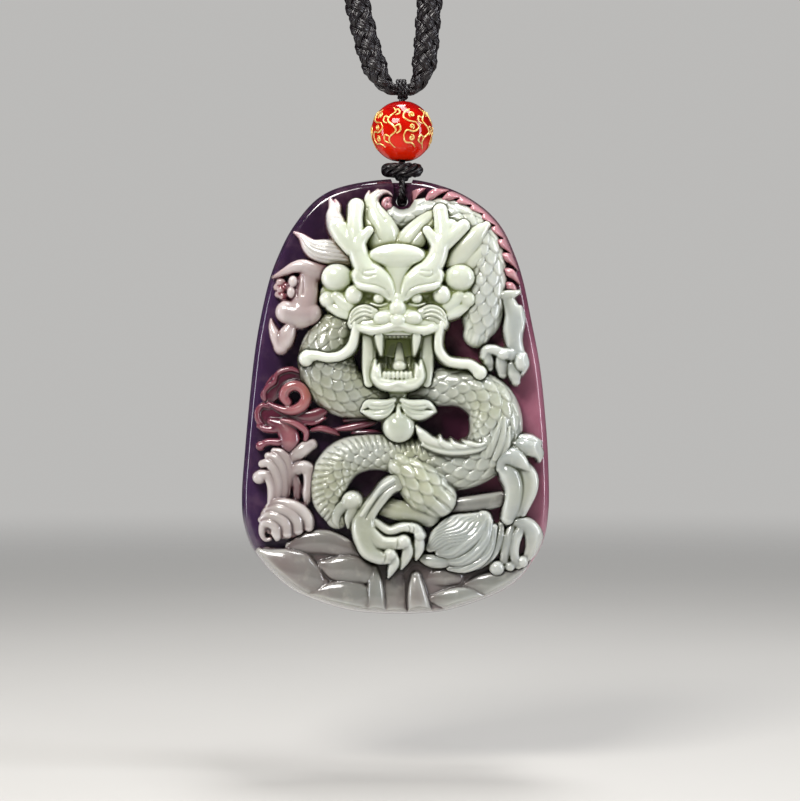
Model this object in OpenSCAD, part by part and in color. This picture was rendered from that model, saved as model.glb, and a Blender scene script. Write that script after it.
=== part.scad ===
// Carved jade dragon plaque on a braided neck cord, with a red agate bead above it.
// The origin is where the cord lies on the back of the neck. +Z is up and the carving faces -Y.

/* [Jade plaque] */
// Width across the widest part
plaque_w = 50; // [42:1:60]
// Height from the foot to the top edge
plaque_h = 71; // [60:1:84]
// Thickness of the slab behind the carving
slab_t = 6; // [5:0.5:8]
// Height of the highest carving, the nose, above the face of the slab
relief_d = 7.5; // [5.5:0.5:9]
// Width of the sloping rim round the face
rim_w = 1.4; // [0.8:0.1:2]
// Radius of the worn edge round the back
back_edge = 0.8; // [0.4:0.1:1.2]
// Diameter of the hole that the thread passes through
hole_d = 2; // [1.9:0.1:2.4]
// Depth of the middle of the hole below the top edge
hole_drop = 3.6; // [3.4:0.1:4.2]
// Thickness of the bridge of jade between the thread grooves
bridge_t = 3.4; // [3:0.1:3.8]

/* [Bead] */
// Diameter of the agate bead
bead_d = 10; // [8:0.5:14]
// Diameter of the hole drilled through the bead
bead_bore = 2.5; // [2.5:0.1:3]

/* [Thread] */
// Diameter of the thin thread
thread_d = 1.1; // [0.9:0.05:1.15]
// Width of the flat knot between bead and plaque
knot_w = 7.4; // [6.6:0.2:9]
// Height of the knot
knot_h = 2.4; // [2:0.1:3]
// Length of the lashing on the bend of the cord
lash_l = 2.3; // [1.6:0.1:2.4]
// Outer diameter of the lashing
lash_d = 3.5; // [3.3:0.1:4]

/* [Neck cord] */
// Height of the loop, from the neck down to the bend that carries the pendant
loop_h = 265; // [220:5:320]
// Width of the loop where it is widest, between the cord's middle lines
loop_w = 110.4; // [100:0.4:140]
// Diameter of the braided cord
cord_d = 4.5; // [3.5:0.1:5]
// Diameter of the cord where the lashing squeezes it
pinch_d = 2.2; // [1.6:0.1:2.4]

/* [Fit] */
// Gap left between neighbouring pieces
gap = 0.12; // [0.1:0.01:0.2]
// Room between the knot and the top edge of the plaque
swing_gap = 0.35; // [0.3:0.05:0.6]

/* [Hidden] */

// Route of the cord's middle line as [x, z], from the bend up the left side, over the neck and
// down the right side. The table's own width and height are stretched to the named sizes.
CORD_ROUTE = [
    [0, -265], [-1.5, -265], [-2.7, -264.2], [-4.1, -262], [-5.5, -258.2], [-6.9, -252.6],
    [-8.9, -244], [-11.3, -233], [-15.2, -214], [-20, -193], [-25.2, -172], [-30.8, -151],
    [-36.4, -130], [-42.1, -109], [-47.7, -88], [-53, -67], [-55.2, -53], [-52.5, -35.8],
    [-45.3, -21.4], [-33.9, -9.4], [-18.9, -1.1], [0, 2.25], [18.9, -1.1], [33.9, -9.4],
    [45.3, -21.4], [52.5, -35.8], [55.2, -53], [53, -67], [47.7, -88], [42.1, -109],
    [36.4, -130], [30.6, -151], [24.8, -172], [18.9, -193], [13, -214], [8.2, -233],
    [5.4, -244], [4.4, -252], [3.9, -258.6], [3.4, -262], [2.5, -264.2], [1.5, -265]
];
route_w = max([for (p = CORD_ROUTE) p[0]]) - min([for (p = CORD_ROUTE) p[0]]);
route_h = -min([for (p = CORD_ROUTE) p[1]]);
bend_z = -loop_h;
// Longest step between two rings of the cord, and how far the squeeze of the lashing reaches
ring_step = 2.5 * cord_d;
squeeze_reach = 5;

// Heights on the hanging line, each from the piece above it
bead_z = bend_z - lash_d / 2 - gap - bead_d / 2;
knot_z = bead_z - bead_d / 2 - gap - knot_h / 2;
plaque_top = knot_z - knot_h / 2 - swing_gap;
hole_z = plaque_top - hole_drop;
face_y = -slab_t / 2;

// The carved face is laid out on a grid that follows the plaque: x counts from its middle in
// GRID_W steps over the width, z from its foot in GRID_H steps over the height.
GRID_W = 310;
GRID_H = 440;
HOLE_X = 7;
step_x = plaque_w / GRID_W;
step_z = plaque_h / GRID_H;
// Depth to which the carving is rooted in the slab
root_t = 1.5;
// Longest span of the plaque's edge between two points, in grid steps
edge_span = 26;

// Edge of the plaque: [x, z] on the grid
EDGE = [
    [9, 440], [-44, 434.6], [-77, 421], [-102.5, 392], [-118.5, 361], [-129, 330], [-139.5, 279],
    [-146, 226], [-151.5, 166], [-154.6, 120], [-152, 90], [-140.6, 62], [-112.6, 32], [-83, 16],
    [-34, 3], [40, 3], [91, 17], [119.6, 32], [136, 50], [150, 76], [155, 107], [155, 145],
    [152.6, 189], [146.4, 250], [136.6, 302], [129.6, 336], [121, 363], [107, 392], [85, 414],
    [53, 431]
];

// Carved strokes. A row is [roundness, [x, z, height, half width], ...]: places and half widths
// on the grid, heights in hundredths of relief_d. Roundness 1 is a half-round back.
BODY = [
    [1, [-45, 289, 50, 22], [-63, 272, 56, 27], [-68, 249, 58, 28], [-53, 227, 56, 27], [-23, 217, 50, 22]],
    [1, [30, 225, 50, 18], [60, 226, 56, 19], [83, 221, 60, 22], [100, 202, 62, 26], [97, 177, 60, 25],
        [75, 158, 58, 25], [45, 155, 56, 24]],
    [1, [35, 159, 52, 20], [5, 165, 52, 17], [-30, 166, 52, 16], [-53, 155, 54, 18], [-63, 135, 56, 20],
        [-61, 112, 52, 18], [-53, 95, 40, 12]],
    [1, [10, 149, 60, 18], [25, 133, 68, 24], [38, 121, 64, 22]],
    [1, [7, 405, 40, 12], [36, 403, 45, 15], [65, 395, 50, 18], [85, 372, 52, 20], [94, 342, 54, 22],
        [92, 310, 52, 22], [85, 285, 46, 17], [82, 271, 38, 12]],
    [0.6, [24, 189, 62, 4], [42, 172, 68, 5], [65, 164, 70, 5], [88, 172, 70, 5], [106, 190, 66, 4]]
];
HEAD = [
    [0.6, [2, 366, 62, 20], [2, 345, 70, 24], [2, 318, 74, 30], [2, 296, 78, 33]],
    [1, [-60, 330, 46, 14], [2, 330, 64, 20], [66, 330, 46, 14]],
    [0.5, [3, 369, 84, 19], [3, 362, 90, 26], [3, 353, 90, 20], [3, 343, 88, 11], [3, 331, 86, 6],
        [3, 314, 88, 4]],
    [1, [-33, 343, 84, 8], [-38, 358, 85, 9], [-38, 374, 80, 9], [-41, 396, 73, 7], [-40, 414, 64, 4]],
    [1, [-35, 368, 80, 6], [-30, 380, 75, 6], [-24, 387, 68, 5]],
    [1, [35, 343, 84, 8], [44, 356, 85, 8], [46, 376, 80, 9], [47, 394, 73, 7], [48, 407, 64, 4]],
    [1, [41, 372, 80, 5], [34, 381, 75, 5], [28, 386, 68, 4]],
    [1, [50, 378, 79, 6], [62, 388, 74, 5], [74, 396, 66, 4]],
    [1, [-36, 342, 84, 8], [-22, 340, 95, 10], [-11, 334, 95, 8], [-5, 322, 91, 4]],
    [1, [42, 342, 84, 8], [28, 340, 95, 10], [17, 334, 95, 8], [11, 322, 91, 4]],
    [1, [-73, 321, 46, 6], [-50, 323, 60, 6]],
    [1, [-71, 312, 44, 5], [-50, 313, 58, 5]],
    [1, [81, 321, 46, 6], [58, 323, 60, 6]],
    [1, [79, 312, 44, 5], [58, 313, 58, 5]],
    [1, [-42, 313, 70, 4], [-24, 308, 88, 4]],
    [1, [-43, 305, 72, 4], [-24, 301, 89, 4]],
    [1, [-43, 298, 74, 3], [-26, 295, 88, 3]],
    [1, [50, 313, 70, 4], [31, 308, 88, 4]],
    [1, [52, 305, 72, 4], [31, 301, 89, 4]],
    [1, [52, 299, 74, 3], [33, 295, 88, 3]],
    [1, [-42, 293, 76, 4], [-32, 291, 86, 5], [-22, 287, 92, 6], [-9, 288, 94, 6], [4, 290, 98, 6],
        [17, 288, 94, 6], [28, 287, 92, 6], [38, 291, 86, 5], [48, 295, 76, 4]],
    [0.3, [-13, 281, 72, 5], [20, 281, 72, 5]],
    [1, [-15, 285, 86, 5], [-16, 270, 80, 4], [-17, 260, 74, 2]],
    [1, [23, 285, 86, 5], [23, 270, 80, 4], [24, 258, 74, 2]],
    [1, [-28, 286, 80, 6], [-28, 260, 76, 6], [-27, 236, 78, 6]],
    [1, [33, 287, 80, 6], [32, 260, 76, 6], [33, 238, 78, 6]],
    [0.8, [-21, 249, 76, 3], [-19, 237, 86, 7], [-8, 232, 89, 7], [4, 231, 91, 7], [16, 232, 89, 7],
        [26, 237, 86, 7], [28, 250, 76, 3]],
    [0.3, [-12, 241, 80, 4], [19, 241, 80, 4]],
    [1, [-16, 244, 82, 4], [-17, 255, 74, 2]],
    [1, [22, 244, 82, 4], [23, 255, 74, 2]],
    [0.4, [4, 278, 38, 22], [4, 240, 42, 22]],
    [1, [5, 271, 54, 6], [5, 262, 62, 6], [4, 251, 70, 6]],
    [1, [0, 214, 66, 7], [-14, 213, 66, 7], [-28, 208, 54, 6]],
    [1, [4, 208, 64, 6], [-12, 204, 60, 5], [-27, 203, 48, 4]],
    [1, [8, 214, 68, 7], [20, 213, 66, 7], [33, 209, 54, 5]],
    [1, [8, 208, 66, 6], [20, 204, 62, 5], [38, 205, 46, 3]],
    [1, [-39, 286, 80, 4], [-42, 272, 78, 4], [-51, 262, 76, 5], [-66, 259, 72, 5], [-88, 258, 66, 8]],
    [1, [43, 286, 80, 4], [43, 268, 78, 4], [52, 256, 76, 5], [70, 252, 74, 5], [84, 244, 68, 7]]
];
LEGS = [
    [1, [8, 135, 66, 9], [-14, 126, 66, 10], [-32, 112, 64, 11], [-37, 92, 62, 12], [-26, 74, 60, 13]],
    [1, [-18, 72, 66, 6], [-4, 50, 48, 4]],
    [1, [-8, 84, 66, 6], [8, 72, 62, 6], [13, 55, 48, 4]],
    [1, [-4, 94, 62, 6], [18, 90, 60, 6], [27, 76, 48, 4]],
    [1, [118, 158, 60, 11], [126, 142, 58, 11], [124, 122, 52, 9], [113, 100, 44, 8]],
    [1, [126, 160, 58, 9], [142, 163, 44, 6]],
    [1, [122, 322, 32, 5], [114, 306, 44, 10], [118, 278, 50, 11], [122, 250, 44, 7], [119, 232, 34, 5]],
    [1, [112, 265, 52, 8], [96, 266, 54, 7], [95, 246, 40, 5]],
    [1, [-66, 338, 40, 12], [-92, 342, 42, 11], [-109, 344, 36, 7]],
    [1, [-88, 334, 42, 11], [-92, 316, 44, 13], [-102, 304, 44, 14], [-111, 278, 32, 7]],
    [0.8, [62, 117, 24, 7], [110, 114, 24, 7]]
];
FLAMES = [
    [1, [-60, 360, 40, 11], [-76, 364, 36, 11], [-96, 386, 16, 3]],
    [1, [-46, 374, 42, 10], [-58, 390, 36, 9], [-62, 413, 16, 3]],
    [1, [-8, 376, 44, 12], [-18, 400, 38, 10], [-16, 420, 22, 5]],
    [1, [-12, 412, 26, 4], [-3, 420, 24, 4], [5, 413, 22, 4]]
];
CLOUDS = [
    [0.8, [-126, 226, 18, 6], [-117, 238, 20, 6], [-100, 244, 20, 5]],
    [1, [-110, 213, 26, 5], [-111, 224, 28, 6], [-102, 231, 30, 6], [-91, 224, 30, 6], [-92, 212, 30, 6],
        [-104, 208, 26, 4]],
    [0.8, [-134, 200, 16, 6], [-108, 195, 24, 9], [-64, 205, 14, 5]],
    [0.8, [-108, 190, 24, 9], [-100, 172, 26, 8]],
    [0.8, [-138, 170, 14, 5], [-116, 175, 20, 6]],
    [0.8, [-84, 185, 14, 5], [-20, 190, 12, 5]]
];
WAVES = [
    [1, [-126, 163, 28, 7], [-106, 154, 34, 9], [-101, 128, 30, 7]],
    [1, [-130, 148, 26, 7], [-118, 142, 30, 7], [-115, 122, 26, 5]],
    [1, [-88, 172, 30, 6], [-76, 148, 34, 9], [-80, 122, 32, 8]],
    [1, [-88, 94, 34, 9], [-100, 110, 36, 10], [-120, 109, 34, 9], [-127, 92, 26, 6]],
    [1, [-100, 92, 34, 10], [-116, 88, 28, 7]]
];
TAIL = [
    [0.8, [36, 78, 38, 8], [54, 86, 52, 17], [80, 88, 54, 20], [112, 102, 42, 11]],
    [0.8, [58, 58, 34, 7], [96, 66, 42, 11], [116, 88, 40, 8]],
    [1, [120, 106, 38, 8], [136, 96, 38, 8], [132, 64, 34, 6]]
];
ROCKS = [
    [0.35, [-128, 62, 26, 10], [-108, 53, 30, 20], [-84, 40, 28, 20], [-68, 32, 24, 10]],
    [0.35, [-98, 72, 22, 9], [-72, 76, 26, 13], [-38, 64, 24, 12]],
    [0.35, [-72, 50, 26, 9], [-50, 51, 30, 12], [-24, 42, 26, 9]],
    [0.35, [-82, 21, 24, 8], [-55, 22, 30, 14], [-26, 14, 26, 10]],
    [0.5, [-18, 46, 30, 8], [-18, 12, 28, 9]],
    [0.4, [1, 42, 26, 12], [1, 14, 24, 12]],
    [0.5, [24, 42, 30, 8], [28, 12, 30, 12]],
    [0.35, [44, 17, 26, 10], [66, 22, 28, 10], [86, 23, 24, 8]],
    [0.35, [80, 40, 26, 10], [104, 37, 28, 11], [126, 46, 22, 8]],
    [0.35, [46, 44, 20, 12], [72, 44, 20, 12]]
];
// Round knobs as [x, z, height, radius]
KNOBS = [
    [-59, 341, 66, 14], [64, 341, 66, 14], [-41, 321, 74, 9], [46, 321, 74, 9],
    [-16, 318, 86, 5], [21, 318, 86, 5], [3, 309, 96, 8], [4, 298, 100, 8],
    [-12, 299, 95, 9], [19, 299, 95, 9], [4, 191, 78, 15], [-50, 111, 66, 13],
    [-136, 141, 28, 7], [-4, 410, 18, 5], [103, 50, 38, 7], [116, 53, 36, 6]
];
// Spines along the dragon's back: their count, and the ends of the row as [angle, reach] about
// the middle of the arc of the back, with its middle as [x, z] on the grid
SPINE_COUNT = 11;
SPINE_MIDDLE = [22, 322];
SPINE_FROM = [88, 92];
SPINE_TO = [-4, 104];
// Length and lean of a spine, and its root and tip as [height, half width]
SPINE_L = 7;
SPINE_LEAN = 5;
SPINE_ROOT = [30, 5];
SPINE_TIP = [18, 2];

// A point of a closed smooth curve through p, t of the way from p[i] to the next
function along(p, i, t) =
    let (n = len(p), a = p[(i + n - 1) % n], b = p[i % n], c = p[(i + 1) % n], d = p[(i + 2) % n])
    (2 * b + t * (c - a) + t * t * (2 * a - 5 * b + 4 * c - d) + t * t * t * (3 * b - a - 3 * c + d)) / 2;

// A closed smooth curve through p, with more points where the spans are longer
function smooth(p, step) = [
    for (i = [0 : len(p) - 1])
        let (n = max(1, ceil(norm(p[(i + 1) % len(p)] - p[i]) / step)))
        for (k = [0 : n - 1]) along(p, i, k / n)
];

function blend(a, b, t) = a + (b - a) * t;
function ease(t) = let (s = min(1, max(0, t))) s * s * (3 - 2 * s);
function unit(v) = v / norm(v);

// Faces that join rings of n points; ring and point numbers run on, and wrap closes the row
function skin(rings, n, wrap = false) = [
    for (i = [0 : rings - (wrap ? 1 : 2)]) for (j = [0 : n - 1])
        let (a = i * n, b = ((i + 1) % rings) * n, k = (j + 1) % n)
        each [[a + j, a + k, b + k], [a + j, b + k, b + j]]
];
function cap(ring, n, flip = false) = [for (j = [0 : n - 1]) ring * n + (flip ? n - 1 - j : j)];

// The braided cord as one closed tube, squeezed at the bend
module neck_cord() {
    sides = 10;
    route = [for (p = CORD_ROUTE) [p[0] * loop_w / route_w, p[1] * loop_h / route_h]];
    path = smooth(route, ring_step);
    count = len(path);
    points = [
        for (i = [0 : count - 1])
            let (p = path[i], t = unit(path[(i + 1) % count] - path[(i + count - 1) % count]),
                 r = blend(pinch_d, cord_d, ease((norm(p - path[0]) - lash_l / 2) / squeeze_reach)) / 2)
            for (j = [0 : sides - 1])
                let (a = 360 * j / sides)
                [p[0] - t[1] * r * cos(a), r * sin(a), p[1] + t[0] * r * cos(a)]
    ];
    color([0.12, 0.09, 0.1]) polyhedron(points, skin(count, sides, true), convexity = 6);
}

// Turns of thread round the bend of the cord, as a ribbed sleeve along X
module lashing() {
    turns = 3;
    pitch = lash_l / turns;
    inner = pinch_d / 2 + gap;
    outer = lash_d / 2 - pitch / 2;
    translate([0, 0, bend_z]) rotate([0, 90, 0]) {
        difference() {
            union() {
                cylinder(h = lash_l, d = 2 * outer + pitch / 2, center = true, $fn = 48);
                for (k = [0 : turns - 1])
                    translate([0, 0, (k + 0.5) * pitch - lash_l / 2])
                        rotate_extrude($fn = 48) translate([outer, 0]) circle(d = pitch, $fn = 24);
            }
            cylinder(h = 2 * lash_l, r = inner, center = true, $fn = 48);
        }
    }
}

// Half of the thread's loop as [y, z] from the middle of the hole, from the hole up to the bead
function half_loop() =
    let (floor_y = bridge_t / 2, off = thread_d / 2 + gap, lift = hole_d / 2 - off,
         twin = thread_d / 2 + 0.02, top = bead_z - hole_z)
    [
        [0, lift], [floor_y - 0.1, lift], [floor_y + 0.7 * off, lift + 0.35 * off],
        [floor_y + off, hole_d / 2 + 0.1], [floor_y + off, hole_drop * 0.55],
        [floor_y * 0.95, hole_drop * 0.83], [twin + 0.3, hole_drop + 0.1],
        [twin, knot_z - knot_h / 2 - hole_z + 0.3], [twin, top], [twin, bend_z - lash_d / 2 + 0.3 - hole_z]
    ];

// The thread: lashed to the cord, doubled through bead and knot, and looped through the plaque
module tie_thread() {
    sides = 8;
    half = half_loop();
    n = len(half);
    path = [for (i = [n - 1 : -1 : 1]) [-half[i][0], half[i][1]], each half];
    points = [
        for (i = [0 : len(path) - 1])
            let (t = unit(path[min(i + 1, len(path) - 1)] - path[max(i - 1, 0)]))
            for (j = [0 : sides - 1])
                let (a = 360 * j / sides, r = thread_d / 2)
                [-r * sin(a), path[i][0] - t[1] * r * cos(a), path[i][1] + t[0] * r * cos(a)]
    ];
    faces = [each skin(len(path), sides), cap(0, sides, true), cap(len(path) - 1, sides)];
    color([0.1, 0.08, 0.1]) {
        lashing();
        translate([0, 0, hole_z]) polyhedron(points, faces, convexity = 6);
    }
}

module bead() {
    color([0.8, 0.12, 0.06]) translate([0, 0, bead_z]) difference() {
        sphere(d = bead_d, $fn = 64);
        cylinder(h = 2 * bead_d, d = bead_bore, center = true, $fn = 48);
    }
}

// The flat knot: a drilled barrel between two side loops
module lower_knot() {
    wire = 0.24 * knot_h;
    ring = knot_h / 2 - wire;
    barrel = bead_bore / 2 + 2.2 * wire;
    color([0.1, 0.08, 0.1]) translate([0, 0, knot_z]) difference() {
        union() {
            for (z = [-1, 1])
                translate([0, 0, z * (knot_h / 2 - wire)])
                    rotate_extrude($fn = 48) translate([barrel - wire, 0]) circle(wire, $fn = 24);
            cylinder(h = knot_h - wire, r = barrel - wire / 3, center = true, $fn = 48);
            for (s = [-1, 1])
                translate([s * (knot_w / 2 - knot_h / 2), 0, 0]) rotate([90, 0, 0]) {
                    rotate_extrude($fn = 48) translate([ring, 0]) circle(wire, $fn = 24);
                    cylinder(h = wire, r = ring, center = true, $fn = 48);
                }
        }
        cylinder(h = 2 * knot_h, d = bead_bore, center = true, $fn = 48);
    }
}

// A place on the carved face, from grid x and z and a height in hundredths of relief_d
function on_face(x, z, h) = [x * step_x, face_y - h * relief_d / 100, z * step_z];

function slab_edge() = [for (p = smooth(EDGE, edge_span)) [p[0] * step_x, p[1] * step_z]];
function inward(edge, i) =
    let (n = len(edge), t = unit(edge[(i + 1) % n] - edge[(i + n - 1) % n]))
    [-t[1], t[0]];

// A stroke's row with its points closed up to a smooth line, n steps for each span
function flowing(row, n) =
    let (p = [row[1], for (i = [1 : len(row) - 1]) row[i], row[len(row) - 1]], last = len(p) - 3)
    [row[0], for (i = [1 : last]) for (k = [0 : n - 1]) along(p, i, k / n), p[last + 1]];

// The slab: its edge, drawn in by some width at some depth for each ring
module slab() {
    edge = slab_edge();
    n = len(edge);
    rings = [
        [rim_w, face_y], [0.35 * rim_w, face_y + 0.4 * rim_w], [0, face_y + 1.3 * rim_w],
        [0, -face_y - back_edge], [0.3 * back_edge, -face_y - 0.3 * back_edge], [back_edge, -face_y]
    ];
    points = [
        for (r = rings) for (i = [0 : n - 1])
            let (p = edge[i] + r[0] * inward(edge, i))
            [p[0], r[1], p[1]]
    ];
    faces = [each skin(len(rings), n), cap(0, n, true), cap(len(rings) - 1, n)];
    polyhedron(points, faces, convexity = 4);
}

// A stroke with rounded ends that stands on the slab
module stroke(row) {
    round_up = row[0];
    body = [for (i = [1 : len(row) - 1]) row[i]];
    last = len(body) - 1;
    first_way = unit([body[0][0] - body[1][0], body[0][1] - body[1][1]]);
    last_way = unit([body[last][0] - body[last - 1][0], body[last][1] - body[last - 1][1]]);
    drop = 100 * step_x / relief_d * round_up;
    path = [tip(body[0], first_way, drop), each body, tip(body[last], last_way, drop)];
    count = len(path);
    section = [[-1, 1], [-0.62, 0.22], [0.62, 0.22], [1, 1]];
    points = [
        for (i = [0 : count - 1])
            let (p = path[i], a = path[max(i - 1, 0)], b = path[min(i + 1, count - 1)],
                 t = unit([b[0] - a[0], b[1] - a[1]]), side = [-t[1], t[0]] * p[3],
                 top = [for (s = section) on_face(p[0] + side[0] * s[0], p[1] + side[1] * s[0],
                                                  p[2] - s[1] * p[3] * drop * 0.8)])
            each [
                [top[0][0], face_y + root_t, top[0][2]], each top,
                [top[3][0], face_y + root_t, top[3][2]]
            ]
    ];
    faces = [each skin(count, 6), cap(0, 6, true), cap(count - 1, 6)];
    polyhedron(points, faces, convexity = 6);
}
function tip(p, way, drop) =
    [p[0] + way[0] * p[3] * 0.8, p[1] + way[1] * p[3] * 0.8, p[2] - 0.4 * p[3] * drop, p[3] * 0.6];

// A round knob that stands on the slab
module knob(p) {
    sides = 10;
    rise = p[3] * 100 * step_x / relief_d;
    rings = [[1, -1], [1, p[2] - rise], [0.75, p[2] - 0.36 * rise]];
    points = [
        for (r = rings) for (j = [0 : sides - 1])
            let (a = -360 * j / sides, reach = p[3] * r[0],
                 q = on_face(p[0] + reach * cos(a), p[1] + reach * sin(a), r[1]))
            [q[0], r[1] < 0 ? face_y + root_t : q[1], q[2]],
        on_face(p[0], p[1], p[2])
    ];
    top = 2 * sides;
    faces = [
        each skin(3, sides), cap(0, sides, true),
        for (j = [0 : sides - 1]) [top + j, top + (j + 1) % sides, top + sides]
    ];
    polyhedron(points, faces, convexity = 4);
}

// Everything that stands on the slab
module carving() {
    for (table = [BODY, LEGS, FLAMES, WAVES, TAIL]) for (row = table) stroke(flowing(row, 2));
    for (table = [HEAD, CLOUDS, ROCKS]) for (row = table) stroke(row);
    for (p = KNOBS) knob(p);
    spines();
}

// The room over the slab, a little inside its edge, that the carving keeps to
module edge_prism() {
    inset = 0.25;
    edge = slab_edge();
    n = len(edge);
    rotate([90, 0, 0]) linear_extrude(slab_t + 2 * relief_d) polygon([
        for (i = [0 : n - 1]) edge[i] + inset * inward(edge, i)
    ]);
}

// Spines of the back, in a row that follows the arc
module spines() {
    for (k = [0 : SPINE_COUNT - 1]) {
        f = k / (SPINE_COUNT - 1);
        a = blend(SPINE_FROM[0], SPINE_TO[0], f);
        r = blend(SPINE_FROM[1], SPINE_TO[1], f);
        stroke([0.8, spine_end(a, r, SPINE_ROOT), spine_end(a + SPINE_LEAN, r + SPINE_L, SPINE_TIP)]);
    }
}
function spine_end(a, r, end) =
    [SPINE_MIDDLE[0] + r * cos(a), SPINE_MIDDLE[1] + r * sin(a), end[0], end[1]];

// Room for the thread: a flaring groove over the hole, cut round the bridge
module thread_groove() {
    low = hole_d / 2 + 0.35;
    far = 30;
    difference() {
        rotate([90, 0, 0]) linear_extrude(2 * far, center = true) polygon([
            for (a = [180 : 30 : 360]) [low * cos(a), low * sin(a)],
            [low, hole_drop * 0.6], [1.35 * low, hole_drop], [2 * low, hole_drop + 1.2],
            [-2 * low, hole_drop + 1.2], [-1.35 * low, hole_drop], [-low, hole_drop * 0.6]
        ]);
        rotate([90, 0, 90]) linear_extrude(far, center = true) polygon([
            [-bridge_t / 2, -far], [bridge_t / 2, -far], [bridge_t / 2, hole_drop * 0.4],
            [bridge_t * 0.38, hole_drop * 0.62], [bridge_t * 0.2, hole_drop * 0.73],
            [-bridge_t * 0.2, hole_drop * 0.73], [-bridge_t * 0.38, hole_drop * 0.62],
            [-bridge_t / 2, hole_drop * 0.4]
        ]);
    }
}

module jade_plaque() {
    color([0.78, 0.8, 0.68]) difference() {
        // The carving is brought to its named depth, nose to back
        translate([-HOLE_X * step_x, 0, plaque_top - plaque_h]) resize([0, slab_t + relief_d, 0])
            difference() {
                union() {
                    slab();
                    intersection() {
                        carving();
                        edge_prism();
                    }
                }
                translate([HOLE_X * step_x, 0, plaque_h - hole_drop]) thread_groove();
            }
        translate([0, 0, hole_z]) rotate([90, 0, 0])
            cylinder(h = 4 * slab_t, d = hole_d, center = true, $fn = 48);
    }
}

neck_cord();
tie_thread();
bead();
lower_knot();
jade_plaque();
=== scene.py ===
import math
from collections import namedtuple
from contextlib import contextmanager

import bmesh
import bpy
import numpy as np
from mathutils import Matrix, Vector


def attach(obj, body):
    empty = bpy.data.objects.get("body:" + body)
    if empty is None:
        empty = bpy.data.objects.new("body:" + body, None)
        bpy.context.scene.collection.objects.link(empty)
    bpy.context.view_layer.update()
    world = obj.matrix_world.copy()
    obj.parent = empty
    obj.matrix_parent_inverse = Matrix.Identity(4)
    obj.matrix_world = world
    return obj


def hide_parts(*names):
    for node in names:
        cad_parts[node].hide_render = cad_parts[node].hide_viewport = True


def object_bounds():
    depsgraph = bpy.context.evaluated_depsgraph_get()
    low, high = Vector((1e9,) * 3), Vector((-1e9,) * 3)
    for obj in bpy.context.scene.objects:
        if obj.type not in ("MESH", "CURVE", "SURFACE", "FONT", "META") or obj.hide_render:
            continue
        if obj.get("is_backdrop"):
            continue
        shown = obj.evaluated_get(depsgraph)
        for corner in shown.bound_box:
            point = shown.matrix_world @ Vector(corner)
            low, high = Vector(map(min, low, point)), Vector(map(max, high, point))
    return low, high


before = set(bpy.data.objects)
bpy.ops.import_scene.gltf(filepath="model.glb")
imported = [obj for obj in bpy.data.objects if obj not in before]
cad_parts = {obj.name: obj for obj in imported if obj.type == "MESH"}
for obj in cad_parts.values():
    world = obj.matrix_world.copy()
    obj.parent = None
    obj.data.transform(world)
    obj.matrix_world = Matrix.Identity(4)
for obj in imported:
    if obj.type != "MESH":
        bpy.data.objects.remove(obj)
cad_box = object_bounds()

# Lengths are in millimetres until a mesh is made.
MM = 0.001

# The plaque, as in the part's source. Its face is laid out in steps of a grid, with x from the
# middle of its width and z from its foot. Y points to the back.
PLAQUE_W, PLAQUE_H = 50.0, 71.0
GRID_W, GRID_H, HOLE_X = 310, 440, 7
STEP_X, STEP_Z = PLAQUE_W / GRID_W, PLAQUE_H / GRID_H
SLAB_T, RELIEF_D, RIM_W, BACK_EDGE = 6.0, 7.5, 1.4, 0.8
FACE_Y, BACK_Y = -SLAB_T / 2, SLAB_T / 2
HOLE_D, HOLE_DROP, BRIDGE_T = 2.0, 3.6, 3.4
# The thread's groove above the hole: half its width, by how much of it each side flares, and the
# height below the plaque's top over which it does
GROOVE_HALF, GROOVE_FLARE, FLARE_H = HOLE_D / 2 + 0.35, 0.35, 0.4 * HOLE_DROP

# The hanging line, from the bend of the cord down
BEND_Z, LASH_L, LASH_D = -265.0, 2.3, 3.5
BEAD_D, BEAD_BORE, KNOT_H = 10.0, 2.5, 2.4
THREAD_D, CORD_D, PINCH_D, GAP, SWING_GAP = 1.1, 4.5, 2.2, 0.12, 0.35
BEAD_Z = BEND_Z - LASH_D / 2 - GAP - BEAD_D / 2
KNOT_Z = BEAD_Z - BEAD_D / 2 - GAP - KNOT_H / 2
PLAQUE_TOP = KNOT_Z - KNOT_H / 2 - SWING_GAP
HOLE_Z = PLAQUE_TOP - HOLE_DROP
FOOT_Z = PLAQUE_TOP - PLAQUE_H
AXIS_X = -HOLE_X * STEP_X

# Middle line of the neck cord as [x, z], as in the part's source
CORD_ROUTE = [
    [0, -265], [-1.5, -265], [-2.7, -264.2], [-4.1, -262], [-5.5, -258.2], [-6.9, -252.6],
    [-8.9, -244], [-11.3, -233], [-15.2, -214], [-20, -193], [-25.2, -172], [-30.8, -151],
    [-36.4, -130], [-42.1, -109], [-47.7, -88], [-53, -67], [-55.2, -53], [-52.5, -35.8],
    [-45.3, -21.4], [-33.9, -9.4], [-18.9, -1.1], [0, 2.25], [18.9, -1.1], [33.9, -9.4],
    [45.3, -21.4], [52.5, -35.8], [55.2, -53], [53, -67], [47.7, -88], [42.1, -109],
    [36.4, -130], [30.6, -151], [24.8, -172], [18.9, -193], [13, -214], [8.2, -233],
    [5.4, -244], [4.4, -252], [3.9, -258.6], [3.4, -262], [2.5, -264.2], [1.5, -265],
]

# Edge of the plaque as [x, z] on the grid, as in the part's source
EDGE = [
    [9, 440], [-44, 434.6], [-77, 421], [-102.5, 392], [-118.5, 361], [-129, 330], [-139.5, 279],
    [-146, 226], [-151.5, 166], [-154.6, 120], [-152, 90], [-140.6, 62], [-112.6, 32], [-83, 16],
    [-34, 3], [40, 3], [91, 17], [119.6, 32], [136, 50], [150, 76], [155, 107], [155, 145],
    [152.6, 189], [146.4, 250], [136.6, 302], [129.6, 336], [121, 363], [107, 392], [85, 414],
    [53, 431],
]


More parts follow.
